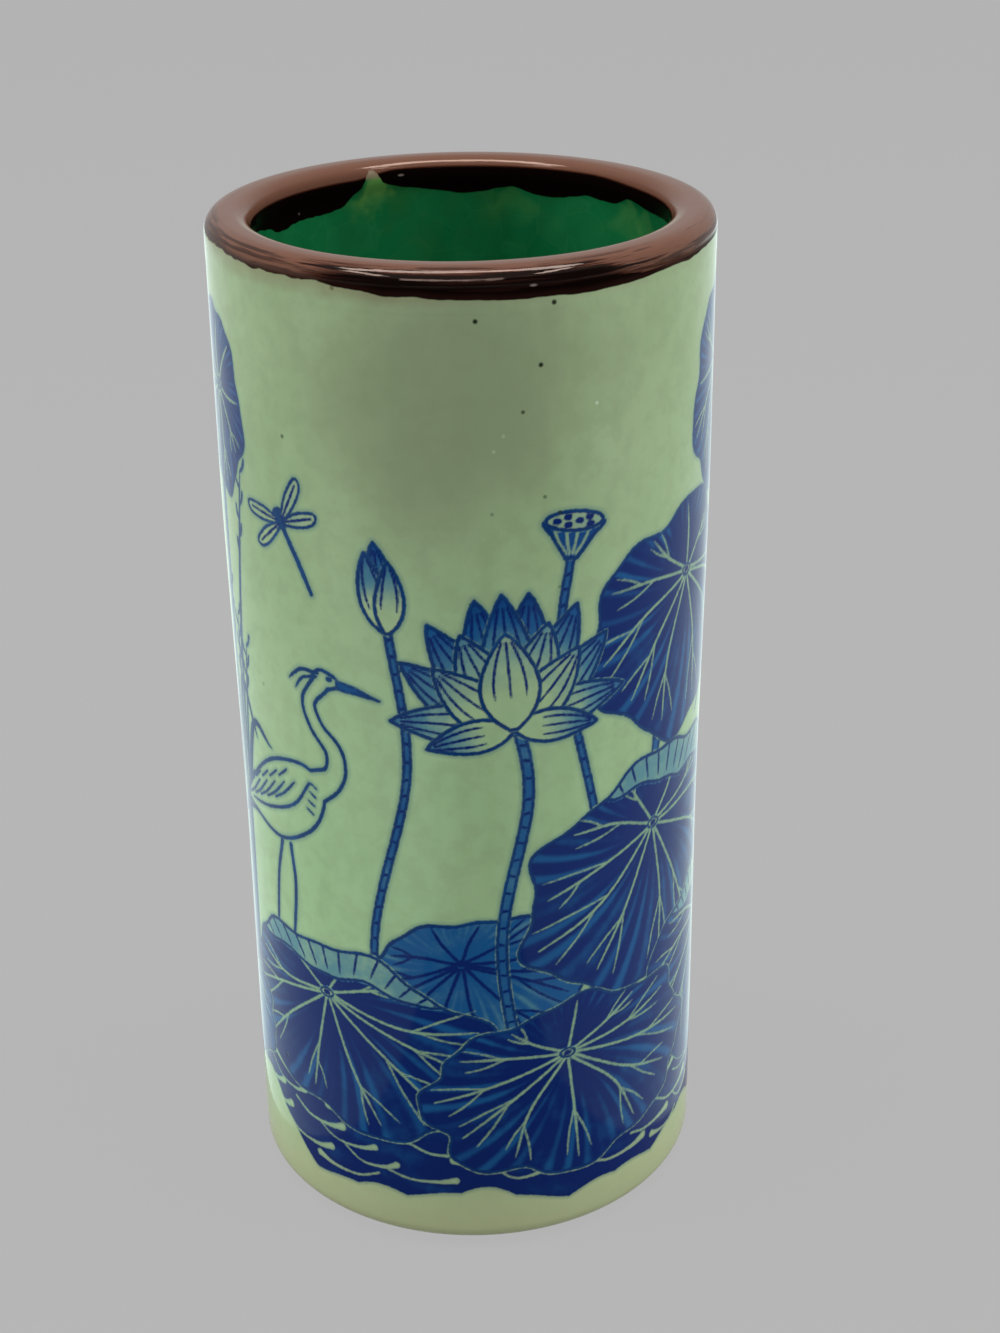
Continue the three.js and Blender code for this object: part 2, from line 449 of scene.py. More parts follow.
def celadon_finish(shader, place):
    """Wire the celadon glaze into a material; return its colour, before any print, and its dark spots."""
    colour, ripple, spots = celadon_tint(place)
    emboss(shader, calculate("SUBTRACT", ripple, times(spots, SPOT_DENT)), GLAZE_BUMP, GLAZE_RELIEF)
    feed(ease(ripple, *NOISE_RANGE, *GLAZE_ROUGHNESS), shader.inputs["Roughness"])
    shader.inputs["Specular IOR Level"].default_value = GLAZE_SPECULAR
    return colour, spots


celadon_material, celadon_tree, celadon_shader = new_material("celadon_glaze")
celadon_colour, celadon_spots = celadon_finish(celadon_shader, own_place(celadon_tree))
feed(blend(celadon_spots, celadon_colour, IRON_SPOT), celadon_shader.inputs["Base Color"])

# A coat of glaze is its section turned round the pot, once for every step. The section comes in as a
# ring of points at (radius, 0, height).
TURN_STEPS = 720
MERGE_DISTANCE = 1e-7
DEGENERATE_LENGTH = 1e-8
SHARP_ANGLE = math.radians(50)

turn_tree, turn_in, turn_out = new_tree(
    "turned_coat",
    "GeometryNodeTree",
    [
        ("Geometry", "NodeSocketGeometry"),
        ("Steps", "NodeSocketInt", TURN_STEPS),
        ("Material", "NodeSocketMaterial"),
    ],
    [("Geometry", "NodeSocketGeometry")],
)
turn_section = turn_in["Geometry"]
turn_count = follow("GeometryNodeAttributeDomainSize", {0: turn_section}).outputs["Point Count"]
turn_rows = plus(turn_count, 1.0)
turn_columns = plus(turn_in["Steps"], 1.0)
turn_grid = follow("GeometryNodeMeshGrid", {"Vertices X": turn_columns, "Vertices Y": turn_rows})
turn_index = add_node(turn_tree, "GeometryNodeInputIndex").outputs[0]
turn_column = calculate("FLOOR", calculate("DIVIDE", turn_index, turn_rows))
turn_row = calculate("SUBTRACT", turn_index, times(turn_column, turn_rows))
turn_row = calculate("MODULO", turn_row, turn_count)
turn_angle = times(calculate("DIVIDE", turn_column, turn_in["Steps"]), 2 * math.pi)
turn_position = add_node(turn_tree, "GeometryNodeInputPosition").outputs[0]
turn_point = follow(
    "GeometryNodeSampleIndex",
    {"Geometry": turn_section, "Value": turn_position, "Index": turn_row},
    data_type="FLOAT_VECTOR",
).outputs[0]
turn_radius, _, turn_height = axes(turn_point)
turn_place = point(
    times(turn_radius, calculate("COSINE", turn_angle)),
    times(turn_radius, calculate("SINE", turn_angle)),
    turn_height,
)
turn_shape = follow("GeometryNodeSetPosition", {0: turn_grid.outputs["Mesh"], "Position": turn_place})
turn_shape = follow("GeometryNodeMergeByDistance", {0: turn_shape.outputs[0], "Distance": MERGE_DISTANCE})
turn_shape = follow("GeometryNodeSetShadeSmooth", {0: turn_shape.outputs[0]})
turn_shape = follow("GeometryNodeRealizeInstances", {0: turn_shape.outputs[0]})
turn_shape = follow("GeometryNodeSetMaterial", {0: turn_shape.outputs[0], "Material": turn_in["Material"]})
feed(turn_shape.outputs[0], turn_out["Geometry"])


def turned_coat(name, section, material):
    """Turn a closed section of (radius, height) points into a coat of glaze, as a plain mesh."""
    mesh = bpy.data.meshes.new(name)
    count = len(section)
    mesh.from_pydata([(r, 0, z) for r, z in section], [(i, (i + 1) % count) for i in range(count)], [])
    coat = bpy.data.objects.new(name, mesh)
    bpy.context.collection.objects.link(coat)
    turning = coat.modifiers.new("turning", "NODES")
    turning.node_group = turn_tree
    socket = next(item for item in turn_tree.interface.items_tree if item.name == "Material")
    turning[socket.identifier] = material
    ready = coat.evaluated_get(bpy.context.evaluated_depsgraph_get())
    coat.data = bpy.data.meshes.new_from_object(ready)
    coat.modifiers.remove(turning)
    shaped = bmesh.new()
    shaped.from_mesh(coat.data)
    bmesh.ops.dissolve_degenerate(shaped, edges=shaped.edges, dist=DEGENERATE_LENGTH)
    bmesh.ops.recalc_face_normals(shaped, faces=shaped.faces)
    shaped.to_mesh(coat.data)
    shaped.free()
    coat.data.set_sharp_from_angle(angle=SHARP_ANGLE)
    return coat


def arc_points(centre, radii, start, stop, steps):
    """Points of an elliptical arc about (radius, height), in degrees."""
    turns = [math.radians(start + (stop - start) * i / steps) for i in range(steps + 1)]
    return [(centre[0] + radii[0] * math.cos(t), centre[1] + radii[1] * math.sin(t)) for t in turns]


# The bottom edge of the coat rolls under the slab and stops beside the foot ring, where it was wiped
# off. It was poured with the rest of the coat, and is a piece of its own because the print ends above it.
EDGE_STEPS, EDGE_INNER_STEPS = 14, 6

edge_centre = (FOOT_RADIUS - EDGE_ROUND, celadon_low.z + EDGE_ROUND)
edge_inner = EDGE_ROUND - CELADON_THICKNESS
edge_section = [
    *arc_points(edge_centre, (EDGE_ROUND, EDGE_ROUND), -90, 0, EDGE_STEPS),
    (FOOT_RADIUS, PRINT_BOTTOM),
    (FOOT_RADIUS - CELADON_THICKNESS, PRINT_BOTTOM),
    *arc_points(edge_centre, (edge_inner, edge_inner), 0, -90, EDGE_INNER_STEPS),
]
celadon_edge = turned_coat("celadon_edge", edge_section, celadon_material)
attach(celadon_edge, "root")
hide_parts("celadon_glaze")

# The print is a lotus pond with egrets in cobalt under the glaze. It is drawn flat, in millimetres:
# s runs to the right round the wall from the middle of the front, and z is the height. Each field
# holds, for every point of a fine grid, how far it lies outside the painted lines or washes.
MM = 0.001
ROUND = 2 * math.pi * 35.0
COLUMNS = 880
ROWS = 565
PRINT_LOW, PRINT_TOP = 6.0, 147.0
COLUMN_STEP = ROUND / COLUMNS
ROW_STEP = (PRINT_TOP - PRINT_LOW) / (ROWS - 1)
FAR = 5.0
REACH = 1.6
RUN_STEPS = 6
TONE_EDGE = 0.3
STROKE_SWELL = 0.7
NOTHING = 1e-12
line_field = np.full((ROWS, COLUMNS), FAR)
wash_field = np.full((ROWS, COLUMNS), FAR)
tone_field = np.zeros((ROWS, COLUMNS))


def patch(points, reach):
    """The part of the grid round some points: its place in the fields, and its s and z."""
    low = np.min(points, axis=0) - reach
    high = np.max(points, axis=0) + reach
    first = math.floor((low[0] + ROUND / 2) / COLUMN_STEP)
    columns = np.arange(first, math.ceil((high[0] + ROUND / 2) / COLUMN_STEP) + 1)
    bottom = max(0, math.floor((low[1] - PRINT_LOW) / ROW_STEP))
    top = min(ROWS, math.ceil((high[1] - PRINT_LOW) / ROW_STEP) + 1)
    rows = np.arange(bottom, max(top, bottom))
    s, z = np.meshgrid(columns * COLUMN_STEP - ROUND / 2, PRINT_LOW + rows * ROW_STEP)
    return np.ix_(rows, columns % COLUMNS), s, z


def curve(points, closed=False, step=0.9):
    """A smooth curve through a few points."""
    knots = np.asarray(points, float)
    if closed:
        knots = np.vstack([knots[-1], knots, knots[0], knots[1]])
    else:
        knots = np.vstack([2 * knots[0] - knots[1], knots, 2 * knots[-1] - knots[-2]])
    runs = []
    for a, b, c, d in zip(knots, knots[1:], knots[2:], knots[3:]):
        count = max(2, int(np.hypot(*(c - b)) / step) + 1)
        t = np.linspace(0, 1, count, endpoint=False)[:, None]
        bend = (2 * a - 5 * b + 4 * c - d) * t**2 + (3 * b - a - 3 * c + d) * t**3
        runs.append(0.5 * (2 * b + (c - a) * t + bend))
    if not closed:
        runs.append(knots[-2][None, :])
    return np.vstack(runs)


def tube_distance(s, z, path, radii):
    """Distance outside a line whose half width changes along it."""
    starts, runs = path[:-1], np.diff(path, axis=0)
    length = np.maximum((runs**2).sum(1), NOTHING)
    away_s = s[None] - starts[:, 0, None, None]
    away_z = z[None] - starts[:, 1, None, None]
    run_s, run_z = runs[:, 0, None, None], runs[:, 1, None, None]
    t = np.clip((away_s * run_s + away_z * run_z) / length[:, None, None], 0, 1)
    distance = np.hypot(away_s - t * run_s, away_z - t * run_z)
    return (distance - radii[:-1, None, None] - t * np.diff(radii)[:, None, None]).min(0)


def outline_distance(s, z, outline):
    """Distance outside a closed outline, negative within it."""
    distance = np.full(s.shape, 4 * FAR)
    inside = np.zeros(s.shape, bool)
    for a, b in zip(outline, np.roll(outline, -1, axis=0)):
        run = b - a
        t = np.clip(((s - a[0]) * run[0] + (z - a[1]) * run[1]) / max(run @ run, NOTHING), 0, 1)
        distance = np.minimum(distance, np.hypot(s - a[0] - t * run[0], z - a[1] - t * run[1]))
        crossing = (a[1] > z) != (b[1] > z)
        rise = b[1] - a[1] if b[1] != a[1] else NOTHING
        inside ^= crossing & (s < a[0] + (z - a[1]) / rise * run[0])
    return np.where(inside, -distance, distance)


def reserve(where, distance, gap=0.0):
    """Leave a shape bare, with a gap round it."""
    line_field[where] = np.maximum(line_field[where], gap - distance)
    wash_field[where] = np.maximum(wash_field[where], gap - distance)


def draw(where, distance):
    """Fill a shape with the darkest cobalt."""
    line_field[where] = np.minimum(line_field[where], distance)


def wash(where, distance, tone):
    """Fill a shape with a wash, from 0 for the palest to 1 for the darkest."""
    tones = tone_field[where]
    within = distance < TONE_EDGE
    tones[within] = np.broadcast_to(tone, distance.shape)[within]
    tone_field[where] = tones
    wash_field[where] = np.minimum(wash_field[where], distance)


def brush(points, width, start=0.35, end=0.2, bare=False, smooth=True):
    """One stroke through a few points, fullest in its middle; bare ones are left out of the colour."""
    path = curve(points) if smooth else np.asarray(points, float)
    t = np.linspace(0, 1, len(path))
    tip = start + (end - start) * t
    radii = width / 2 * (tip + (1 - tip) * np.sin(np.pi * t) ** STROKE_SWELL)
    lay(path, radii, bare)


def drip(points, width):
    """A bare stroke that starts fine and ends in a round drop."""
    path = curve(points, step=0.5)
    t = np.linspace(0, 1, len(path))
    lay(path, width / 2 * (0.3 + 0.7 * t**4), True)


def lay(path, radii, bare=False):
    """Lay a stroke on the fields in short runs, to keep each patch small."""
    for i in range(0, len(path) - 1, RUN_STEPS):
        run, half = path[i:i + RUN_STEPS + 1], radii[i:i + RUN_STEPS + 1]
        where, s, z = patch(run, half.max() + REACH)
        if s.size:
            distance = tube_distance(s, z, run, half)
            (reserve if bare else draw)(where, distance)


def fill(outline, tone, gap=0.35, edge=0.45):
    """Paint a closed shape over what is there: a bare gap, a wash and a drawn edge."""
    outline = np.asarray(outline, float)
    where, s, z = patch(outline, REACH)
    distance = outline_distance(s, z, outline)
    reserve(where, distance, gap)
    wash(where, distance, tone(s, z) if callable(tone) else tone)
    draw(where, np.abs(distance) - edge / 2)


def turn(points, angle, size, place):
    """Turn, scale and move points of a motif."""
    points = np.asarray(points, float) * size
    across = points[:, 0] * math.cos(angle) - points[:, 1] * math.sin(angle)
    up = points[:, 0] * math.sin(angle) + points[:, 1] * math.cos(angle)
    return np.stack([across, up], 1) + place


# The water's upper and lower edges: a height, and waves as (height, times round, turned by)
WATER_TOP, TOP_WAVES = 26, ((3.2, 3, 1), (1.6, 7, 0), (0.7, 17, 2))
WATER_LOW, LOW_WAVES = 8.6, ((1.3, 5, 2), (0.8, 11, 1))
FLOW_SEED, FLOW_ROWS, FLOW_STROKES = 4, 7, 15


def waves(level, turns, heights):
    """A level with waves on it."""
    return sum((height * np.sin(count * turns + phase) for height, count, phase in heights), level)


def water():
    """A band of dark water all round, with its flow left bare in drop-ended strokes."""
    chance = np.random.default_rng(FLOW_SEED)
    s = np.arange(COLUMNS) * COLUMN_STEP - ROUND / 2
    z = PRINT_LOW + np.arange(ROWS)[:, None] * ROW_STEP
    turns = s * 2 * math.pi / ROUND
    top = waves(WATER_TOP, turns, TOP_WAVES)
    low = waves(WATER_LOW, turns, LOW_WAVES) + 0.7 * np.abs(np.sin(13 * turns + 1))
    low += 9 * np.exp(-(((s + 46) / 13) ** 2)) + 7 * np.exp(-(((s - 88) / 12) ** 2))
    where = np.ix_(np.arange(ROWS), np.arange(COLUMNS))
    swell = 0.5 + 0.5 * np.sin(9 * turns + z * 0.9) * np.sin(4 * turns - z * 0.35)
    wash(where, np.clip(np.maximum(z - top, low - z), -FAR, FAR), 1.02 - 0.16 * swell)
    for row in range(FLOW_ROWS):
        for j in range(FLOW_STROKES):
            middle = (j + 0.5 * (row % 2) + chance.uniform(-0.18, 0.18)) * ROUND / FLOW_STROKES - ROUND / 2
            level = 11.2 + row * 2.4 + chance.uniform(-0.4, 0.4)
            level += 1.4 * math.sin(6 * math.pi * middle / ROUND + 1)
            half = chance.uniform(3, 6) * chance.choice((-1, 1, 1, 1))
            rise = chance.uniform(0.8, 2.0)
            points = [(-half, rise), (-half / 3, 0.1), (half / 2, 0.15), (half, 0.55 * rise)]
            drip(np.asarray(points) + (middle, level), chance.uniform(0.95, 1.5))


# How many points a leaf's edge and its turned-up lip have
LEAF_STEPS, LIP_STEPS = 120, 40


def leaf_veins(hub, edge, veins, bare, chance):
    """Veins from a leaf's hub towards its edge; the long ones fork."""
    jitter = chance.uniform(-1.5, 1.5, veins)
    for k in np.linspace(0, LEAF_STEPS, veins, endpoint=False) + jitter:
        run = edge[int(k) % LEAF_STEPS] - hub
        length = np.hypot(*run)
        if length < 4:
            continue
        side = np.array([-run[1], run[0]]) / length
        bend = side * chance.uniform(-0.08, 0.08) * length
        brush([hub + run * 0.05, hub + run * 0.5 + bend, hub + run * 0.9], 0.42, 1.1, 0.4, bare)
        if length > 11:
            for way in (-1, 1):
                fork = hub + run * chance.uniform(0.42, 0.66) + bend * 0.9
                end = hub + run * chance.uniform(0.84, 0.91)
                end += side * way * length * chance.uniform(0.08, 0.14)
                brush([fork, (fork + end) / 2 + side * way * 0.25, end], 0.3, 1, 0.4, bare)


def leaf_lip(edge, middle, first, last, deep):
    """A pale lip turned up from part of a leaf's edge, with short strokes across it."""
    along = (np.linspace(first, last, LIP_STEPS) / (2 * np.pi) * LEAF_STEPS) % LEAF_STEPS
    wrapped = np.vstack([edge, edge[0]])
    outer = np.stack([np.interp(along, np.arange(LEAF_STEPS + 1), wrapped[:, i]) for i in (0, 1)], 1)
    depth = deep * np.sin(np.linspace(0, np.pi, LIP_STEPS)) ** 0.6
    inner = outer + (middle - outer) * depth[:, None]
    fill(np.vstack([outer, inner[::-1]]), 0.28, 0.0, 0.42)
    for j in range(3, LIP_STEPS - 2, 3):
        brush([outer[j], outer[j] + (inner[j] - outer[j]) * 0.8], 0.32, 1, 0.3)


def leaf(hub, middle, half, tilt, lobes, seed, tone=0.9, veins=13, lip=None, dark_veins=False):
    """A lotus leaf with a rippled edge, forked veins from its hub, and maybe a turned-up lip."""
    chance = np.random.default_rng(seed)
    phase = chance.uniform(0, 2 * np.pi, 3)
    angle = np.linspace(0, 2 * np.pi, LEAF_STEPS, endpoint=False)
    ripple = 1 + 0.055 * np.sin(lobes * angle + phase[0]) * (1 + 0.4 * np.sin(2 * angle + phase[1]))
    ripple += 0.02 * np.sin((2 * lobes + 1) * angle + phase[2])
    edge = np.stack([half[0] * np.cos(angle) * ripple, half[1] * np.sin(angle) * ripple], 1)
    edge = turn(edge, tilt, 1, middle)
    hub, middle = np.asarray(hub, float), np.asarray(middle, float)

    def shade(s, z):
        reach = np.clip(np.hypot(s - hub[0], z - hub[1]) / max(half), 0, 1.2)
        way = np.arctan2(z - hub[1], s - hub[0]) + 0.25 * reach
        streak = (0.5 + 0.5 * np.sin(5 * way + phase[0]) * np.cos(37 * way + phase[1])) ** 2
        return np.clip(tone * (0.98 - 0.34 * streak * np.clip(reach * 2.2 - 0.3, 0, 1)), 0, 1)

    fill(edge, shade, 0.4)
    leaf_veins(hub, edge, veins, not dark_veins, chance)
    if not dark_veins:
        ring = np.stack([np.cos(angle[::6]), 0.6 * np.sin(angle[::6])], 1)
        fill(hub + 1.2 * ring, 0.1, 0.1, 0.3)
    brush([hub - (0.35, 0), hub + (0.35, 0)], 0.7, 0.8, 0.8)
    if lip:
        leaf_lip(edge, middle, *lip)


def petal(base, length, width, heading, curl, tone, veins=3):
    """One pointed petal, shaded to its tip, with fine veins."""
    t = np.linspace(0, 1, 22)
    headings = heading + curl * t**1.6
    ahead = np.stack([np.sin(headings), np.cos(headings)], 1)
    spine = np.asarray(base) + np.vstack([(0, 0), np.cumsum(ahead[:-1], 0) * length / 21])
    half = width / 2 * np.sin(np.pi * t**0.85) ** 0.8 * (1 - 0.15 * t)
    half = np.maximum(half, width * 0.06 * (1 - t))
    side = np.stack([np.cos(headings), -np.sin(headings)], 1) * half[:, None]

    def shade(s, z):
        return np.clip(tone * (np.hypot(s - base[0], z - base[1]) / length - 0.25) / 0.75, 0.04, 1)

    fill(np.vstack([spine + side, (spine - side)[::-1]]), shade, 0.3)
    for v in np.linspace(-0.55, 0.55, veins):
        brush((spine + side * v)[7:20:3], 0.3, 0.4, 0.9)


def blossom(base, size, lean=0.0, tone=1.0):
    """A lotus flower from the side, from its back petals to its front ones."""
    rows = (
        ((-0.25, 0.25, 0), 1.00, 0.40, 0.85),
        ((-0.62, 0.62), 0.98, 0.38, 0.70),
        ((-0.98, 0.98), 0.92, 0.36, 0.60),
        ((-1.33, 1.33), 0.86, 0.32, 0.50),
        ((-0.45, 0.45), 0.80, 0.40, 0.35),
        ((-0.85, 0.85), 0.72, 0.36, 0.30),
        ((-1.62, 1.62), 0.62, 0.26, 0.50),
        ((0.0,), 0.72, 0.44, 0.30),
    )
    for headings, length, width, shade in rows:
        for heading in headings:
            curl = np.sign(heading) * (-0.18 if abs(heading) < 1.2 else 0.27)
            petal(base, size * length, size * width, heading + lean, curl, tone * shade)


def bud(base, size, lean):
    """A closed lotus flower."""
    petal(base, size, size * 0.42, lean, 0.0, 0.8, 3)
    petal(base, size * 0.9, size * 0.36, lean - 0.22, 0.25, 0.6, 2)
    petal(base, size * 0.8, size * 0.34, lean + 0.24, -0.25, 0.5, 2)


def seed_head(base, size, lean):
    """A lotus seed head: a ribbed cup with a flat top and round seeds."""
    cup = curve([(-0.16, 0), (-0.55, 0.55), (-0.8, 1.0), (0.8, 1.0), (0.55, 0.55), (0.16, 0)], step=0.1)
    fill(turn(cup, -lean, size, base), 0.75, 0.3)
    for v in (-0.5, -0.2, 0.1, 0.4):
        rib = turn([(v * 0.3, 0.12), (v * 0.85, 0.5), (v * 1.15, 0.86)], -lean, size, base)
        brush(rib, 0.4, 1, 0.6, True)
    angle = np.linspace(0, 2 * np.pi, 24, endpoint=False)
    top = np.stack([0.82 * np.cos(angle), 1 + 0.26 * np.sin(angle)], 1)
    fill(turn(top, -lean, size, base), 0.15, 0.2)
    for x, y in ((-0.5, 1.0), (-0.22, 1.1), (-0.18, 0.9), (0.12, 1.0), (0.4, 1.09), (0.45, 0.9)):
        spot = turn([(x - 0.04, y), (x + 0.04, y)], -lean, size, base)
        brush(spot, 0.14 * size, 1, 1)


def stem(points, width=1.2, seed=1):
    """A prickly stem, washed between two lines."""
    path = curve(points)
    side = np.gradient(path, axis=0)
    side = np.stack([-side[:, 1], side[:, 0]], 1) / np.hypot(side[:, 0], side[:, 1])[:, None] * width / 2
    fill(np.vstack([path + side, (path - side)[::-1]]), 0.55, 0.3, 0.34)
    chance = np.random.default_rng(seed)
    for point in path[3:-2:3]:
        brush([point + (-0.3, chance.uniform(-0.2, 0.2)), point + (0.25, 0)], 0.32, 1, 1)


def egret(place, size, lean=0.0, facing=1):
    """A white wading bird left bare inside its outline, with a dark tail, bill and crest."""

    def at(points):
        return turn(np.asarray(points, float) * (facing, 1), lean, size, np.asarray(place, float))

    brush(at([(0.6, 13.6), (1.1, 8.0), (0.2, 0.2)]), 0.6, 1.2, 0.8)
    brush(at([(-1.2, 13.6), (-2.6, 8.2), (-3.4, 1.0)]), 0.6, 1.2, 0.8)
    for foot, toes in (((0.2, 0.2), ((2.2, -0.3), (-1.4, -0.5))), ((-3.4, 1), ((-1.6, 0.6), (-4.8, 0.4)))):
        for toe in toes:
            brush(at([foot, toe]), 0.45, 1, 0.4)
    for k in range(4):
        tip = (-15.5 + 1.1 * k, 11.0 + 1.55 * k)
        root = [(-5.5, 17.5 + 0.5 * k), (-10, 15.6 + 0.7 * k), tip, (-10, 14.2 + 0.8 * k), (-5, 15 + 0.5 * k)]
        fill(at(curve(root, True, 0.6)), 0.95, 0.2, 0.35)
    body = [(6.4, 24.2), (3.4, 25.6), (-2.5, 24.0), (-8.0, 19.6), (-11.2, 15.6)]
    body += [(-7.0, 14.6), (-1.0, 14.0), (4.6, 17.0), (7.0, 21.0)]
    body = at(curve(body, True, 0.6))
    head = [(6.6, 38.0), (7.6, 38.9), (9.2, 38.6), (10.4, 37.6), (9.0, 36.8), (7.2, 36.7)]
    head = at(curve(head, True, 0.4))
    neck = [(4.6, 22.6), (8.6, 25.2), (9.0, 28.6), (6.6, 31.4), (5.6, 34.4), (7.6, 37.2)]
    neck = at(curve(neck, step=0.5))
    along = np.linspace(0, 1, len(neck))
    thick = size * np.interp(along, (0, 0.25, 0.6, 0.9, 1), (2.3, 1.45, 1.0, 0.95, 1.15))
    where, s, z = patch(np.vstack([body, neck, head]), REACH + 2)
    whole = np.minimum(outline_distance(s, z, body), outline_distance(s, z, head))
    whole = np.minimum(whole, tube_distance(s, z, neck, thick))
    reserve(where, whole, 0.35)
    draw(where, np.abs(whole) - 0.25)
    fill(at([(9.9, 38.1), (12.5, 37.6), (15.4, 36.5), (12.4, 36.9), (9.9, 37.0)]), 0.8, 0.1, 0.3)
    brush(at([(8.75, 38.0), (9.05, 38.0)]), 0.62, 1, 1)
    brush(at([(7.2, 38.4), (4.6, 38.2), (2.6, 36.6)]), 0.5, 1, 0.3)
    brush(at([(7.0, 37.9), (4.8, 37.2), (3.6, 35.6)]), 0.4, 1, 0.3)
    brush(at([(4.8, 23.4), (1.8, 19.6), (-3.5, 17.2), (-9.4, 15.9)]), 0.45, 0.9, 0.5)
    for k in range(5):
        x, y = 2.2 - 2.1 * k, 22.7 - 0.75 * k
        brush(at([(x, y), (x - 2.2, y - 2.2), (x - 4.3, y - 3.6)]), 0.36, 0.5, 0.8)
        x, y = 0.8 - 2.2 * k, 23.9 - 0.95 * k
        brush(at([(x, y), (x - 1.8, y - 1.5)]), 0.36, 0.5, 0.8)
    for k in range(4):
        brush(at([(5.2 + 0.25 * k, 19.4 + 1.2 * k), (4.2 + 0.3 * k, 19.9 + 1.2 * k)]), 0.3, 0.9, 0.6)


def reeds(foot, count, height, spread, seed):
    """A clump of thin reeds with bent blades and small seed heads."""
    chance = np.random.default_rng(seed)
    for k in range(count):
        lean = spread * ((k + 0.5) / count - 0.5) * 2 + chance.uniform(-1.5, 1.5)
        tall = height * chance.uniform(0.62, 1.0)
        base = np.array([foot[0] + lean * 0.25, foot[1]])
        tip = np.array([foot[0] + lean, foot[1] + tall])
        middle = base * 0.45 + tip * 0.55 - (lean * 0.28, 0)
        brush([base, middle, tip], 0.8, 1.0, 0.15)
        if k % 2:
            blade = tip + (np.sign(lean + 0.1) * chance.uniform(5, 9), -tall * chance.uniform(0.18, 0.3))
            brush([middle, (middle + tip) / 2 + (np.sign(lean + 0.1) * 2.5, 2), blade], 1.3, 0.4, 0.1)
        for j in range(6):
            side = (-1) ** j * (1.4 - 0.15 * j)
            root = tip - (tip - middle) / 9 * (j * 0.55)
            brush([root, root + (side * 0.7, 0.9), root + (side, 2.1)], 0.5, 0.5, 0.8)


def dragonfly(place, size, lean):
    """A dragonfly: a jointed body and two pairs of veined wings."""
    place = np.asarray(place, float)
    for side in (-1, 1):
        for rise, length in ((0.55, 7.0), (-0.25, 6.2)):
            wing = [(0, 0), (length * 0.5, 1.1), (length, 0.9), (length * 0.93, -0.4), (length * 0.5, -0.7)]
            wing = curve(np.asarray(wing) * (side, 1), True, 0.4)
            fill(turn(turn(wing, side * rise, 1, (0, 0.9)), lean, size, place), 0.12, 0.15, 0.34)
            rib = turn([(side * 0.6, 0.1), (side * length * 0.9, 0.35)], side * rise, 1, (0, 0.9))
            brush(turn(rib, lean, size, place), 0.3, 1, 0.7)
    brush(turn([(0, 2.0), (0, 0.2)], lean, size, place), 1.5, 0.7, 0.7)
    brush(turn([(0, 0.2), (0.15, -4.5), (0, -9.0)], lean, size, place), 0.75, 1.0, 0.7)
    brush(turn([(-0.45, 2.5), (0.45, 2.5)], lean, size, place), 0.9, 0.9, 0.9)


def duckweed(place, count, spread, seed):
    """Small floating leaves and short ripples."""
    chance = np.random.default_rng(seed)
    for _ in range(count):
        s, z = np.asarray(place) + chance.uniform(-1, 1, 2) * spread
        brush([(s - 0.5, z), (s + 0.5, z)], chance.uniform(0.7, 1.2), 0.8, 0.8)
    for _ in range(count):
        s, z = np.asarray(place) + chance.uniform(-1, 1, 2) * spread
        half = chance.uniform(2, 4.5)
        brush([(s - half, z + 0.5), (s, z), (s + half, z + 0.4)], 0.4, 0.3, 0.2)


# The painting's order is its depth: what stands behind is laid first.
water()
duckweed((-44, 34), 7, (9, 4), 21)
duckweed((70, 36), 7, (9, 4), 22)
duckweed((-95, 34), 7, (9, 4), 23)
reeds((-47, 28), 7, 96, 13, 31)
reeds((58, 26), 6, 100, 12, 32)
reeds((-103, 26), 7, 92, 14, 33)
stem([(-47, 26), (-49, 60), (-46, 92), (-45, 117)], 1.2, 16)
leaf((-44, 129), (-44.5, 127), (8.5, 13), 0.10, 6, 16, 1.0, 9)
stem([(50, 26), (53, 60), (50, 92), (51, 117)], 1.2, 17)
leaf((50, 130), (49.5, 127), (11, 15), -0.15, 6, 17, 1.0, 10)
leaf((-2, 50), (0, 45), (18, 12), 0.15, 7, 3, 0.62, dark_veins=True)
stem([(-13, 24), (-15, 52), (-9, 80), (-11, 102)], 1.0, 2)
bud((-11, 101), 13, -0.12)
stem([(32, 24), (33, 50), (30, 76), (33, 98)], 1.4, 3)
stem([(8, 24), (4, 52), (8, 76), (6, 90)], 1.4, 4)
stem([(17, 24), (20, 60), (13, 96), (14, 112)], 1.0, 5)
seed_head((14, 111), 5.2, 0.12)
leaf((37, 103), (37, 96), (20, 17), -0.12, 6, 5, 1.0, 11)
leaf((30, 66), (31, 59), (24, 18), 0.22, 7, 6, 0.98, 11, (0.3, 1.9, 0.30))
leaf((50, 42), (49, 35), (20, 17), 0.10, 6, 9, 1.0, 11, (0.8, 2.2, 0.3))
egret((-31, 47), 1.2)
leaf((-24, 41), (-21, 34), (25, 15), -0.16, 7, 7, 1.0, 11, (0.9, 2.6, 0.32))
leaf((14, 33), (16, 27), (24, 14.5), 0.10, 8, 8, 1.0, 12)
blossom((6, 87), 20, -0.08)
dragonfly((-27, 113), 1.05, 0.5)
stem([(76, 24), (78, 50), (74, 70), (76, 88)], 1.4, 6)
blossom((76, 86), 18, 0.12)
stem([(96, 24), (92, 50), (97, 80), (95, 98)], 1.3, 7)
leaf((96, 102), (95, 95), (19, 12), 0.10, 6, 10, 0.92)
stem([(-70, 24), (-66, 50), (-70, 74), (-68, 94)], 1.2, 8)
bud((-68, 93), 15, 0.15)
leaf((86, 58), (88, 52), (20, 13), -0.2, 7, 11, 0.8, 11, (0.6, 2.2, 0.33))
egret((-80, 46), 1.15, 0.0, -1)
leaf((-90, 40), (-91, 33), (23, 14), 0.12, 7, 12, 1.0, 11, (0.7, 2.3, 0.3))
leaf((76, 34), (74, 27), (22, 13), 0.08, 8, 13, 0.95, 11)
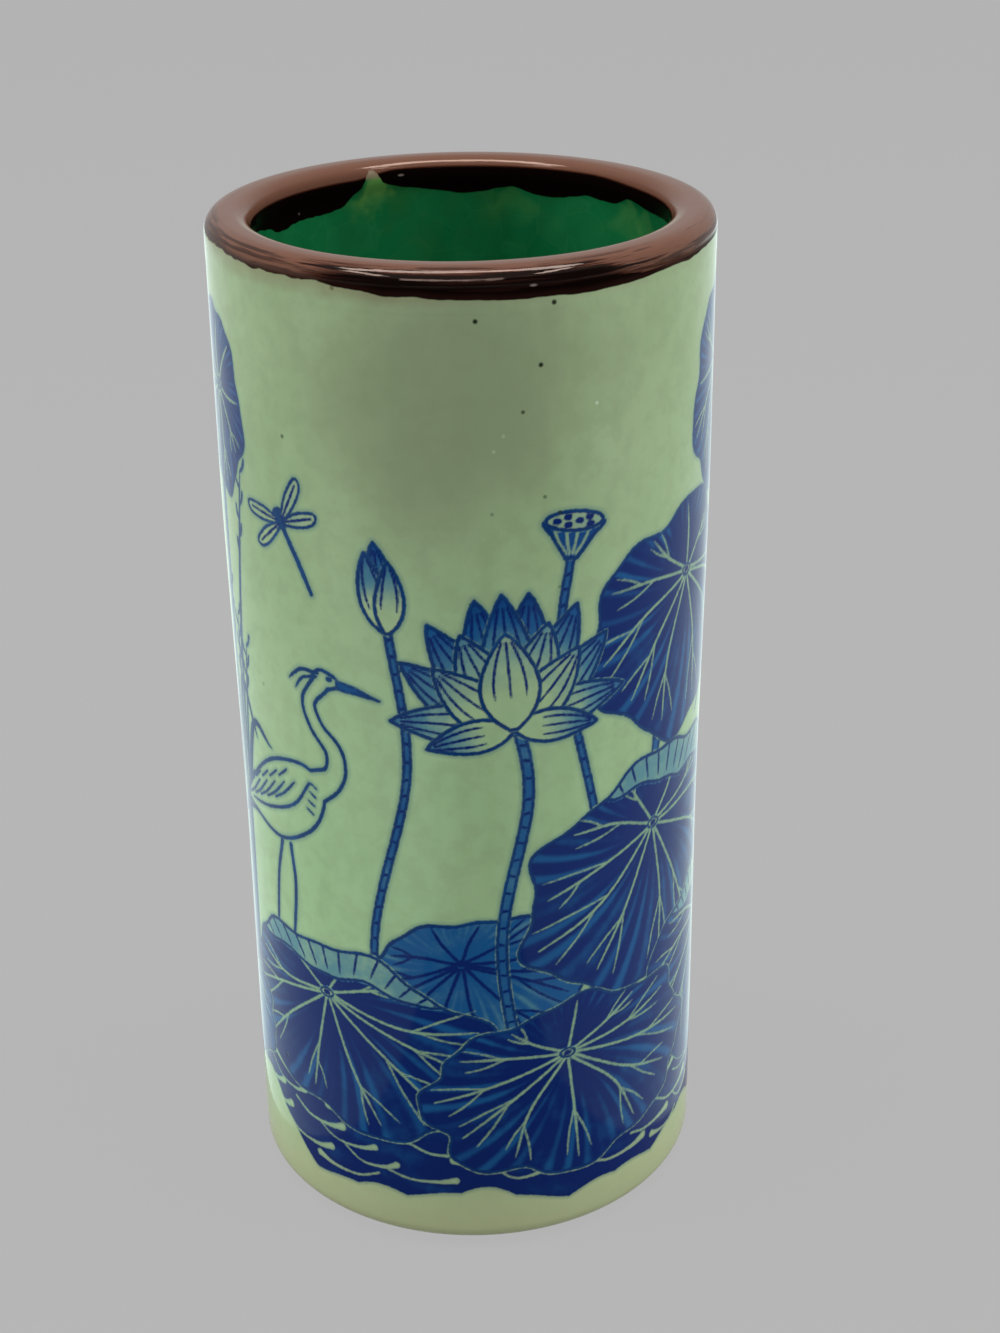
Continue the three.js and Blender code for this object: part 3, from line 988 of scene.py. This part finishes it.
leaf((104, 30), (106, 24), (20, 12), -0.1, 7, 14, 0.9, 11)
leaf((-58, 34), (-57, 27), (18, 11), 0.06, 7, 15, 0.85, 10)
dragonfly((-92, 116), 1.0, -0.6)


# The wall's celadon coat and the cobalt under it are one glossy layer, poured over the print and fired.
# It is made as one piece for each gore of the wall, with the print's fields kept on its points.
GORES = 8
GORE_COLUMNS = COLUMNS // GORES
INNER_COLUMNS = 5
COBALT_DARK = (0.0002, 0.0125, 0.105, 1)
COBALT_MID = (0.0050, 0.0680, 0.205, 1)
COBALT_PALE = (0.068, 0.190, 0.240, 1)
COBALT_LINE = (0.0020, 0.0300, 0.112, 1)
COBALT_HALO = (0.085, 0.190, 0.175, 1)
EDGE_WAVER = 0.05
LINE_BLUR = (0.21, -0.07)
WASH_BLUR = (0.16, -0.16)
HALO_REACH, HALO_SHARE = 0.85, 0.50
WORN_RANGE, WEAR = (0.40, 0.75), 0.14
PALE_LINES, PALE_LINE_SHARE = (0.45, 0.75), 0.50
DARK_LINES = (0.1, -0.4)
PALE_TONES, MID_TONES, DARK_TONES = (0.0, 0.35), (0.22, 0.60), (0.60, 0.92)
BAKE_MARGIN = 0.002
BAKE_OUTER, BAKE_INNER = (BAKE_MARGIN, 0.93), (1 - BAKE_MARGIN, 0.945)


def field_value(tree, name):
    """The value that a named field has at a point."""
    return add_node(tree, "ShaderNodeAttribute", attribute_name=name).outputs["Fac"]


print_material, print_tree, print_shader = new_material("celadon_print")
print_place = own_place(print_tree)
print_colour, print_spots = celadon_finish(print_shader, print_place)
print_line = field_value(print_tree, "line")
print_wash = field_value(print_tree, "wash")
print_tone = field_value(print_tree, "tone")
print_grain = noise(print_place, scale=1500, detail=3, roughness=0.6)
print_cloud = noise(print_place, scale=150, detail=4, roughness=0.65)
print_waver = ease(print_grain, *NOISE_RANGE, -EDGE_WAVER, EDGE_WAVER)
line_mask = ease(plus(print_line, print_waver), *LINE_BLUR)
wash_mask = ease(plus(print_wash, print_waver), *WASH_BLUR)
halo = ease(calculate("MINIMUM", print_line, print_wash), HALO_REACH, 0.0, 0.0, HALO_SHARE)
tone_worn = calculate("SUBTRACT", print_tone, ease(print_cloud, *WORN_RANGE, 0.0, WEAR))
wash_colour = blend(ease(tone_worn, *PALE_TONES), print_colour, COBALT_PALE)
wash_colour = blend(ease(tone_worn, *MID_TONES), wash_colour, COBALT_MID)
wash_colour = blend(ease(tone_worn, *DARK_TONES), wash_colour, COBALT_DARK)
line_colour = blend(ease(print_cloud, *PALE_LINES, 0.0, PALE_LINE_SHARE), COBALT_LINE, COBALT_MID)
line_colour = blend(ease(print_wash, *DARK_LINES), line_colour, COBALT_DARK)
printed = blend(halo, print_colour, COBALT_HALO)
printed = blend(wash_mask, printed, wash_colour)
printed = blend(line_mask, printed, line_colour)
feed(blend(print_spots, printed, IRON_SPOT), print_shader.inputs["Base Color"])

heights = (PRINT_LOW + np.arange(ROWS) * ROW_STEP) * MM
outer_radii = np.array([wall_radius(height) for height in heights])
slopes = np.gradient(outer_radii, heights)


def ring_points(radii, angles):
    """Points on the wall at every height and angle; angle 0 is the middle of the front."""
    across = radii[:, None] * np.sin(angles)[None]
    back = -radii[:, None] * np.cos(angles)[None]
    up = np.repeat(heights[:, None], len(angles), axis=1)
    return np.stack([across, back, up], 2).reshape(-1, 3)


def grid_faces(numbers):
    """Faces of a grid of numbered points."""
    low, high = numbers[:-1], numbers[1:]
    return np.stack([low[:, :-1], low[:, 1:], high[:, 1:], high[:, :-1]], 2).reshape(-1, 4)


def grid_spread(first, last, columns):
    """Places on the bake's sheet for a grid of points, between a first and a last column."""
    u, v = np.meshgrid(np.linspace(first, last, columns), np.linspace(BAKE_MARGIN, 1 - BAKE_MARGIN, ROWS))
    return np.stack([u, v], 2).reshape(-1, 2)


def keep_field(piece, name, field, blank=0.0):
    """Keep a named field on a piece's first points, and a blank value on the rest."""
    values = np.full(len(piece.data.vertices), blank, np.float32)
    values[:len(field)] = field
    piece.data.attributes.new(name, "FLOAT", "POINT").data.foreach_set("value", values)


for gore in range(GORES):
    columns = np.arange(gore * GORE_COLUMNS, (gore + 1) * GORE_COLUMNS + 1)
    angles = columns * 2 * math.pi / COLUMNS - math.pi
    outer = ring_points(outer_radii, angles)
    inner = ring_points(outer_radii - CELADON_THICKNESS, np.linspace(angles[0], angles[-1], INNER_COLUMNS))
    wide = len(angles)
    base = len(outer)
    outer_grid = np.arange(base).reshape(ROWS, wide)
    inner_grid = base + np.arange(len(inner)).reshape(ROWS, INNER_COLUMNS)
    faces = grid_faces(outer_grid).tolist()
    faces += grid_faces(inner_grid)[:, ::-1].tolist()
    faces += grid_faces(np.stack([inner_grid[:, 0], outer_grid[:, 0]], 1)).tolist()
    faces += grid_faces(np.stack([outer_grid[:, -1], inner_grid[:, -1]], 1)).tolist()
    faces.append([*inner_grid[0].tolist(), *outer_grid[0, ::-1].tolist()])
    faces.append([*outer_grid[-1].tolist(), *inner_grid[-1, ::-1].tolist()])
    piece = link_mesh(f"celadon_gore_{gore + 1}", np.vstack([outer, inner]).tolist(), faces, print_material)
    keep_field(piece, "line", line_field[:, columns % COLUMNS].ravel(), FAR)
    keep_field(piece, "wash", wash_field[:, columns % COLUMNS].ravel(), FAR)
    keep_field(piece, "tone", tone_field[:, columns % COLUMNS].ravel())
    facing = np.vstack([outer, -inner])
    facing[:, 2] = 0
    facing /= np.linalg.norm(facing, axis=1)[:, None]
    facing[:base, 2] = -np.repeat(slopes, wide)
    piece.data.normals_split_custom_set_from_vertices(facing.tolist())
    spread = np.vstack([grid_spread(*BAKE_OUTER, wide), grid_spread(*BAKE_INNER, INNER_COLUMNS)])
    corners = np.zeros(len(piece.data.loops), np.int32)
    piece.data.loops.foreach_get("vertex_index", corners)
    piece.data.uv_layers.new(name="OFBake").data.foreach_set("uv", spread[corners].ravel())
    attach(piece, "root")
    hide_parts("celadon_glaze")


# The green glaze was poured into the bore and out again, and runs up under the brown: deep, glassy and
# faintly crackled, with paler olive runs where it is thin below the gaps in the brown.
GREEN_DEEP = (0.000, 0.085, 0.025, 1)
GREEN_MID = (0.006, 0.165, 0.052, 1)
GREEN_OLIVE = (0.034, 0.135, 0.028, 1)
GREEN_CRACK = (0.050, 0.240, 0.080, 1)
GREEN_THIN = (0.120, 0.300, 0.065, 1)
OLIVE_TONES, OLIVE_SHARE = (0.55, 1.0), 0.40
FACET_SHARE = 0.13
CRACK_WIDTH, CRACK_SHARE = 0.03, 0.10
CRACKS_PER_METRE = 190.0
GREEN_ROUGHNESS, GREEN_SPECULAR = 0.08, 0.35
GREEN_THICKNESS = 0.00045
GREEN_TOP = 0.1426
CORNER_FILLET = 0.0035
FLOOR_DIP = 0.00002
WALL_STEPS, FILLET_STEPS = 12, 10
LIP_CROWN = 0.00285
LIP_BEAD = 0.0014
LIP_OVERHANG = 0.0005

green_low, green_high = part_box("green_inner_glaze")
_, brown_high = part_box("brown_rim_glaze")
BORE_RADIUS = green_high.x - GREEN_THICKNESS
LIP_SHOULDER = brown_high.z - LIP_CROWN
BEAD_BOTTOM = LIP_SHOULDER - LIP_BEAD
MOUTH_RADIUS = BORE_RADIUS - LIP_OVERHANG

# Where the brown has drawn back: degrees round from the front, height, width and strength
THIN_RUNS = (
    (-154.4, 0.1486, 1.0, 0.75),
    (123.5, 0.1468, 1.2, 0.22),
    (115.0, 0.1460, 1.0, 0.18),
    (164.0, 0.1463, 1.2, 0.14),
)

# A pale run of thin glaze: narrow at its top, spreading and fading on its way down
THIN_LEAN = 0.0012
THIN_NECK = 0.0006
THIN_EDGE = (1.20, 0.45)
THIN_FADE = (0.0062, 0.0022)
THIN_START = 0.0003

thin_group, thin_in, thin_out = new_tree(
    "thin_run",
    "ShaderNodeTree",
    [
        ("Vector", "NodeSocketVector"),
        ("Place", "NodeSocketVector"),
        ("Top", "NodeSocketFloat", 0.148),
        ("Width", "NodeSocketFloat", 1.0),
    ],
    [("Mask", "NodeSocketFloat")],
)
thin_x, thin_y, thin_z = axes(thin_in["Vector"])
thin_noise = noise(thin_in["Vector"], scale=260.0, detail=2)
thin_lean = ease(thin_noise, *NOISE_RANGE, -THIN_LEAN, THIN_LEAN)
thin_away = distance(point(plus(thin_x, thin_lean), thin_y), thin_in["Place"])
thin_below = calculate("SUBTRACT", thin_in["Top"], thin_z)
thin_reach = times(plus(calculate("MAXIMUM", thin_below, 0.0), THIN_NECK), thin_in["Width"])
thin_spread = ease(calculate("DIVIDE", thin_away, thin_reach), *THIN_EDGE)
thin_fade = times(ease(plus(thin_below, thin_lean), *THIN_FADE), ease(thin_below, -THIN_START, THIN_START))
feed(times(thin_spread, thin_fade), thin_out["Mask"])


def green_tint(place):
    """The green glaze's colour at a place, with the ripple of its surface."""
    runs = use_group(runs_group, place, Scale=38.0, Stretch=0.6)
    patches = use_group(runs_group, place, Scale=22.0, Stretch=1.0)
    colour = blend(runs["Tone"], GREEN_DEEP, GREEN_MID)
    colour = blend(ease(patches["Tone"], *OLIVE_TONES, 0.0, OLIVE_SHARE), colour, GREEN_OLIVE)
    cells = {"Vector": place, "Scale": CRACKS_PER_METRE}
    facets = follow("ShaderNodeTexVoronoi", cells).outputs["Color"]
    facet = follow("ShaderNodeSeparateColor", {0: facets}).outputs[0]
    colour = blend(times(facet, FACET_SHARE), colour, GREEN_CRACK)
    cracks = follow("ShaderNodeTexVoronoi", cells, feature="DISTANCE_TO_EDGE").outputs["Distance"]
    colour = blend(ease(cracks, CRACK_WIDTH, 0.0, 0.0, CRACK_SHARE), colour, GREEN_CRACK)
    for degrees, top, width, strength in THIN_RUNS:
        start = round_place(degrees, BORE_RADIUS)
        run = use_group(thin_group, place, Place=start, Top=top, Width=width)["Mask"]
        colour = blend(times(run, strength), colour, GREEN_THIN)
    return colour, runs["Ripple"]


green_material, green_tree, green_shader = new_material("green_glaze")
green_body, green_ripple = green_tint(own_place(green_tree))
feed(green_body, green_shader.inputs["Base Color"])
green_shader.inputs["Roughness"].default_value = GREEN_ROUGHNESS
green_shader.inputs["Specular IOR Level"].default_value = GREEN_SPECULAR
emboss(green_shader, green_ripple, GLAZE_BUMP, GLAZE_RELIEF)

green_floor = green_low.z + GREEN_THICKNESS
fillet_centre = (BORE_RADIUS - CORNER_FILLET, green_floor + CORNER_FILLET)
green_section = [
    (0.0, green_low.z),
    (BORE_RADIUS + GREEN_THICKNESS, green_low.z),
    (BORE_RADIUS + GREEN_THICKNESS, GREEN_TOP),
    *[(BORE_RADIUS, GREEN_TOP + (fillet_centre[1] - GREEN_TOP) * i / WALL_STEPS) for i in range(WALL_STEPS)],
    *arc_points(fillet_centre, (CORNER_FILLET, CORNER_FILLET), 0, -90, FILLET_STEPS),
    (BORE_RADIUS / 2, green_floor - FLOOR_DIP),
    (0.0, green_floor),
]
green_coat = turned_coat("green_inside", green_section, green_material)
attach(green_coat, "root")
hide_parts("green_inner_glaze")


# The brown glaze is a thick glossy iron glaze brushed over the lip: mauve and streaked on the crown, where
# it is thin and lightened with a painted reflection of the bright room, nearly black where it hangs outside
# and where it runs down in lobes inside the mouth.
BROWN_THIN_AND_SHEEN = (0.125, 0.056, 0.036, 1)
BROWN_PALE = (0.230, 0.215, 0.145, 1)
BROWN_WARM = (0.045, 0.013, 0.007, 1)
BROWN_THICK = (0.0030, 0.0012, 0.0010, 1)
BROWN_HEM = (0.012, 0.004, 0.003, 1)
BROWN_RUN = (0.220, 0.170, 0.110, 1)
BROWN_FLECK_AND_GLINT = (0.300, 0.250, 0.220, 1)
BROWN_TINT = (1.0, 0.72, 0.60, 1)
IRON_BLEED_AND_SHADE = (0.190, 0.140, 0.080, 1)
BROWN_ROUGHNESS, BROWN_SPECULAR = 0.04, 0.44
BROWN_IOR, BROWN_DULL_IOR = 1.5, 1.12
FLECK_AND_GLINT_SHARE = 0.50
LIP_SQUARENESS = 2.6
LIP_MIDDLE = (WALL_RADIUS + MOUTH_RADIUS) / 2
RIM_BOTTOM = 0.1448
INSIDE_BOTTOM = 0.1424
BROWN_THICKNESS = 0.0004
CROWN_THICKNESS = 0.0005
UNDER_DROP = 0.001
FLUSH = 0.00002
SKIRT_STEPS, CROWN_STEPS, UNDER_STEPS = 5, 56, 12

# The strokes of the brush: how often they come round the pot and round the lip's own section
STROKES_ROUND = 55.0
STROKES_ACROSS = 4.5

# Where the thin brown of the crown, lightened with a painted reflection of the room, begins and ends, as
# angles round the lip's section, which run from 0 outside over a quarter turn on top to a half turn inside;
# and how its outer edge wavers and draws back towards the sides of the pot, and its inner edge near the
# middle
CROWN_OUTER, CROWN_INNER = (0.45, 1.00), (2.73, 2.55)
WARM_CROWN, THIN_AND_SHEEN_CROWN = (0.0, 0.5), (0.35, 1.0)
EDGE_SWAY = 0.30
SWAY_ASIDE, SWAY_GROWTH = (0.012, 0.026), (1.0, 2.2)
BACK_ASIDE, BACK_TURN = (0.014, 0.027), 0.85
LEFT_ASIDE, LEFT_TURN = (-0.009, -0.016), 0.30
RIGHT_ASIDE, RIGHT_TURN = (0.019, 0.026), 0.14

# The pale line along the inner side of the crown in front, thin glaze with a painted reflection along that
# edge, and the dark hem and strokes outside
LINE_RISE, LINE_FALL, LINE_SHARE = (1.85, 2.02), (2.35, 2.15), 0.80
LINE_FRONT = (-0.002, -0.016)
HEM_HEIGHTS, HEM_SHARE = (1.10, 0.35), 0.85
STROKE_TONES, STROKE_SHARE = (0.50, 0.60), 0.75
STROKE_TURN = (1.30, 0.95)

# Where the lip shines, as angles round its section: lower down on both sides the brown has a duller skin
SHINE_OUTER, SHINE_INNER = (0.02, 0.32), (2.70, 2.40)

# The brown glaze's lower edges, as degrees round from the front and heights: outside, then inside
SKIRT_EDGES = (
    (-180, 0.1472), (-150, 0.1475), (-120, 0.1481), (-90, 0.1488), (-66.5, 0.1486), (-60, 0.1482),
    (-51.5, 0.1479), (-48.5, 0.1480), (-37.5, 0.1478), (-33, 0.1480), (-31, 0.1479), (-27.5, 0.1476),
    (-21, 0.1474), (-17, 0.1469), (-9.5, 0.1470), (-4.5, 0.14665), (2, 0.14665), (8.5, 0.1464), (21, 0.1465),
    (24, 0.1463), (40, 0.14665), (45, 0.1470), (53.5, 0.1472), (57, 0.1470), (63, 0.1473), (66, 0.1475),
    (90, 0.1478), (120, 0.1475), (150, 0.1471), (180, 0.1472),
)
REACH_EDGES = (
    (-180, 0.1451), (-175.5, 0.1455), (-169.5, 0.1460), (-163, 0.14645), (-159, 0.1470), (-157.2, 0.1474),
    (-155.6, 0.1480), (-155.0, 0.1493), (-151.5, 0.1493), (-151.0, 0.1477), (-150.5, 0.14735),
    (-149.2, 0.1466), (-147, 0.1460), (-144.5, 0.1449), (-143.5, 0.1446), (-137, 0.1441), (-129, 0.1441),
    (-121.5, 0.1435), (-115.5, 0.1438), (-110.5, 0.1447), (-105, 0.14515), (-99, 0.1456), (-80, 0.1450),
    (-55, 0.1440), (-30, 0.1448), (0, 0.1441), (30, 0.1450), (60, 0.1442), (85, 0.1452), (98, 0.1462),
    (103, 0.1463), (111.5, 0.1461), (116.5, 0.1463), (122.5, 0.14685), (124.5, 0.1467), (129.5, 0.14555),
    (136, 0.1456), (140, 0.1460), (148.5, 0.14515), (155, 0.1450), (157.5, 0.14515), (164.5, 0.1463),
    (169.5, 0.1459), (173, 0.1453), (180, 0.1451),
)
EDGE_NUDGES = (-0.015, 0, 0.015)

# Two glints, painted highlights that stand pale on the dark glaze, as degrees round, radius and height, one
# inside and one outside
GLINT_PLACES = ((-162.3, MOUTH_RADIUS, 0.1483), (14.6, WALL_RADIUS, 0.1481))
GLINT_REACH = (0.0006, 0.0006, 0.00022)
GLINT_EDGE = (1.1, 0.3)


def lip_outline(outer, inner, crown, steps):
    """The lip's crown from the outside over the top, as a loop a little squarer than an ellipse."""
    middle, half = (outer + inner) / 2, (outer - inner) / 2
    points = []
    for i in range(steps + 1):
        turn_by = math.pi * i / steps
        across = math.copysign(abs(math.cos(turn_by)) ** (2 / LIP_SQUARENESS), math.cos(turn_by))
        rise = math.sin(turn_by) ** (2 / LIP_SQUARENESS)
        points.append((middle + half * across, LIP_SHOULDER + crown * rise))
    return points


brown_material, brown_tree, brown_shader = new_material("brown_glaze")
brown_place = own_place(brown_tree)
brown_x, brown_y, brown_z = axes(brown_place)
brown_radius = distance(point(brown_x, brown_y), (0, 0, 0))
brown_outside = calculate("GREATER_THAN", brown_radius, LIP_MIDDLE)
lip_rise = calculate("SUBTRACT", brown_z, LIP_SHOULDER)
lip_turn = calculate("ARCTAN2", lip_rise, calculate("SUBTRACT", brown_radius, LIP_MIDDLE))
strokes_x, strokes_y = times(brown_x, STROKES_ROUND), times(brown_y, STROKES_ROUND)
strokes_place = point(strokes_x, strokes_y, times(lip_turn, STROKES_ACROSS))
strokes = noise(strokes_place, scale=1.0, detail=4, roughness=0.6)

aside = calculate("ABSOLUTE", brown_x)
edge_sway = times(ease(strokes, *NOISE_RANGE, -EDGE_SWAY, EDGE_SWAY), ease(aside, *SWAY_ASIDE, *SWAY_GROWTH))
outer_turn = plus(lip_turn, edge_sway, ease(aside, *BACK_ASIDE, 0.0, BACK_TURN))
inner_turn = calculate("SUBTRACT", lip_turn, ease(brown_x, *LEFT_ASIDE, 0.0, LEFT_TURN))
inner_turn = calculate("SUBTRACT", inner_turn, ease(brown_x, *RIGHT_ASIDE, 0.0, RIGHT_TURN))
crown = times(ease(outer_turn, *CROWN_OUTER), ease(inner_turn, *CROWN_INNER))
# The crown is lighter where the brown is thin, and a painted reflection of the bright room lightens it
# further.
brown_body = blend(ease(crown, *WARM_CROWN), BROWN_THICK, BROWN_WARM)
brown_body = blend(ease(crown, *THIN_AND_SHEEN_CROWN), brown_body, BROWN_THIN_AND_SHEEN)
# The pale line is partly thin glaze and partly a painted reflection along the crown's inner edge, kept to the
# front.
inner_line = times(
    ease(lip_turn, *LINE_RISE), ease(lip_turn, *LINE_FALL, 0.0, LINE_SHARE), ease(brown_y, *LINE_FRONT)
)
brown_body = blend(inner_line, brown_body, BROWN_PALE)
above = field_value(brown_tree, "above")
dark_strokes = times(ease(strokes, *STROKE_TONES, 0.0, STROKE_SHARE), ease(lip_turn, *STROKE_TURN))
hem = calculate("MAXIMUM", ease(above, *HEM_HEIGHTS, 0.0, HEM_SHARE), dark_strokes)
brown_body = blend(times(brown_outside, hem), brown_body, BROWN_HEM)
flecks = use_group(spots_group, brown_place, Per_Metre=210.0, Share=0.07, Size=0.05)["Mask"]
fleck_and_glint = times(flecks, FLECK_AND_GLINT_SHARE)
# Two painted highlights are laid in with the pale flecks as glints.
for glint_place in GLINT_PLACES:
    glint_away = oval_distance(brown_place, round_place(*glint_place), GLINT_REACH)
    fleck_and_glint = calculate("MAXIMUM", fleck_and_glint, ease(glint_away, *GLINT_EDGE, 0.0, FLECK_AND_GLINT_SHARE))
brown_body = blend(fleck_and_glint, brown_body, BROWN_FLECK_AND_GLINT)

# Below its edges the rim carries on in the colours of the coats it runs into: a point's "above" says
# how many millimetres it lies over the edge, and fine noise frays that
FRAY_SIDES, FRAY_DEPTHS = (-0.006, -0.016), (0.35, 1.0)
EDGE_BLUR = 0.10
BLEED_AND_SHADE_HEIGHTS = (-2.4, 0.5)
BLEED_AND_SHADE_RISE = (RIM_BOTTOM + 0.0003, RIM_BOTTOM + 0.0018)
BLEED_AND_SHADE_SIDES, BLEED_AND_SHADE_SHARES = (0.006, -0.014), (0.12, 0.48)
RUN_RISE = (0.1477, 0.1487)
STROKE_RELIEF = 0.35
BROWN_BUMP = 0.10


def mix_values(factor, first, second):
    """Mix two values or sockets."""
    return follow("ShaderNodeMix", {0: factor, 2: first, 3: second}).outputs[0]


fray = noise(brown_place, scale=400.0, detail=2)
frayed = plus(above, times(calculate("SUBTRACT", fray, 0.5), ease(brown_x, *FRAY_SIDES, *FRAY_DEPTHS)))
cover = ease(frayed, -EDGE_BLUR, EDGE_BLUR)
celadon_under, celadon_swell, celadon_dots = celadon_tint(brown_place)
celadon_under = blend(celadon_dots, celadon_under, IRON_SPOT)
# Just under the brown skirt the celadon turns dark and brownish: iron bled from the brown, and painted shade
# under the rim.
bleed_and_shade = times(
    ease(plus(frayed, fray), *BLEED_AND_SHADE_HEIGHTS),
    ease(brown_z, *BLEED_AND_SHADE_RISE),
    ease(brown_x, *BLEED_AND_SHADE_SIDES, *BLEED_AND_SHADE_SHARES),
)
celadon_under = blend(bleed_and_shade, celadon_under, IRON_BLEED_AND_SHADE)
green_under, green_swell = green_tint(brown_place)
green_under = blend(ease(brown_z, *RUN_RISE), green_under, BROWN_RUN)
brown_under = blend(brown_outside, green_under, celadon_under)
feed(blend(cover, brown_under, brown_body), brown_shader.inputs["Base Color"])
brown_shader.inputs["Roughness"].default_value = BROWN_ROUGHNESS
shine = times(cover, ease(lip_turn, *SHINE_OUTER), ease(lip_turn, *SHINE_INNER))
dull = calculate("SUBTRACT", cover, shine)
feed(ease(shine, 0.0, 1.0, GLAZE_SPECULAR, BROWN_SPECULAR), brown_shader.inputs["Specular IOR Level"])
feed(ease(dull, 0.0, 1.0, BROWN_IOR, BROWN_DULL_IOR), brown_shader.inputs["IOR"])
feed(blend(cover, WHITE, BROWN_TINT), brown_shader.inputs["Specular Tint"])
brown_ripple = noise(brown_place, scale=90.0, detail=3)
brown_relief = plus(brown_ripple, times(strokes, STROKE_RELIEF))
under_relief = mix_values(brown_outside, green_swell, celadon_swell)
relief = mix_values(cover, under_relief, brown_relief)
emboss(brown_shader, relief, ease(cover, 0.0, 1.0, GLAZE_BUMP, BROWN_BUMP), GLAZE_RELIEF)

skirt_radius = WALL_RADIUS + FLUSH
reach_radius = BORE_RADIUS - FLUSH
inner_wall, inner_bore = WALL_RADIUS - BROWN_THICKNESS, BORE_RADIUS + BROWN_THICKNESS
bead_section = [
    (MOUTH_RADIUS + 0.00006, LIP_SHOULDER - 0.0005),
    (MOUTH_RADIUS + 0.00026, BEAD_BOTTOM + 0.0002),
    (BORE_RADIUS - 0.00010, BEAD_BOTTOM - 0.0003),
    (reach_radius, BEAD_BOTTOM - 0.0009),
]
brown_section = [
    (inner_wall, RIM_BOTTOM),
    *[(skirt_radius, RIM_BOTTOM + (LIP_SHOULDER - RIM_BOTTOM) * i / SKIRT_STEPS) for i in range(SKIRT_STEPS)],
    *lip_outline(skirt_radius, MOUTH_RADIUS, LIP_CROWN, CROWN_STEPS),
    *bead_section,
    (reach_radius, INSIDE_BOTTOM),
    (inner_bore, INSIDE_BOTTOM),
    (inner_bore, LIP_SHOULDER - UNDER_DROP),
    *lip_outline(inner_wall, inner_bore, LIP_CROWN - CROWN_THICKNESS, UNDER_STEPS)[::-1],
]
brown_rim = turned_coat("brown_rim", brown_section, brown_material)

rim_points = np.zeros(len(brown_rim.data.vertices) * 3)
brown_rim.data.vertices.foreach_get("co", rim_points)
rim_x, rim_y, rim_z = rim_points.reshape(-1, 3).T
rim_round = np.arctan2(rim_x, -rim_y)
rim_edges = []
for edges in (SKIRT_EDGES, REACH_EDGES):
    degrees, levels = np.transpose(edges)
    turns = np.radians(degrees)
    nudged = [np.interp(rim_round + nudge, turns, levels, period=2 * math.pi) for nudge in EDGE_NUDGES]
    rim_edges.append(np.mean(nudged, axis=0))
rim_above = (rim_z - np.where(np.hypot(rim_x, rim_y) > LIP_MIDDLE, *rim_edges)) / MM
keep_field(brown_rim, "above", rim_above)
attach(brown_rim, "root")
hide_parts("brown_rim_glaze")


# The underside within the foot ring has a thin coat of the same celadon, brushed on before the ring was
# wiped bare. It doesn't show while the pot stands.
BASE_RIM = 0.0004
BASE_ROUND = 0.0001

base_low, base_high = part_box("base_glaze")
base_section = [
    (0.0, base_low.z),
    (base_high.x - BASE_RIM, base_low.z),
    (base_high.x - BASE_ROUND, base_low.z + BASE_ROUND),
    (base_high.x, base_high.z),
    (0.0, base_high.z),
]
base_coat = turned_coat("base_coat", base_section, celadon_material)
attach(base_coat, "root")
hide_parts("base_glaze")
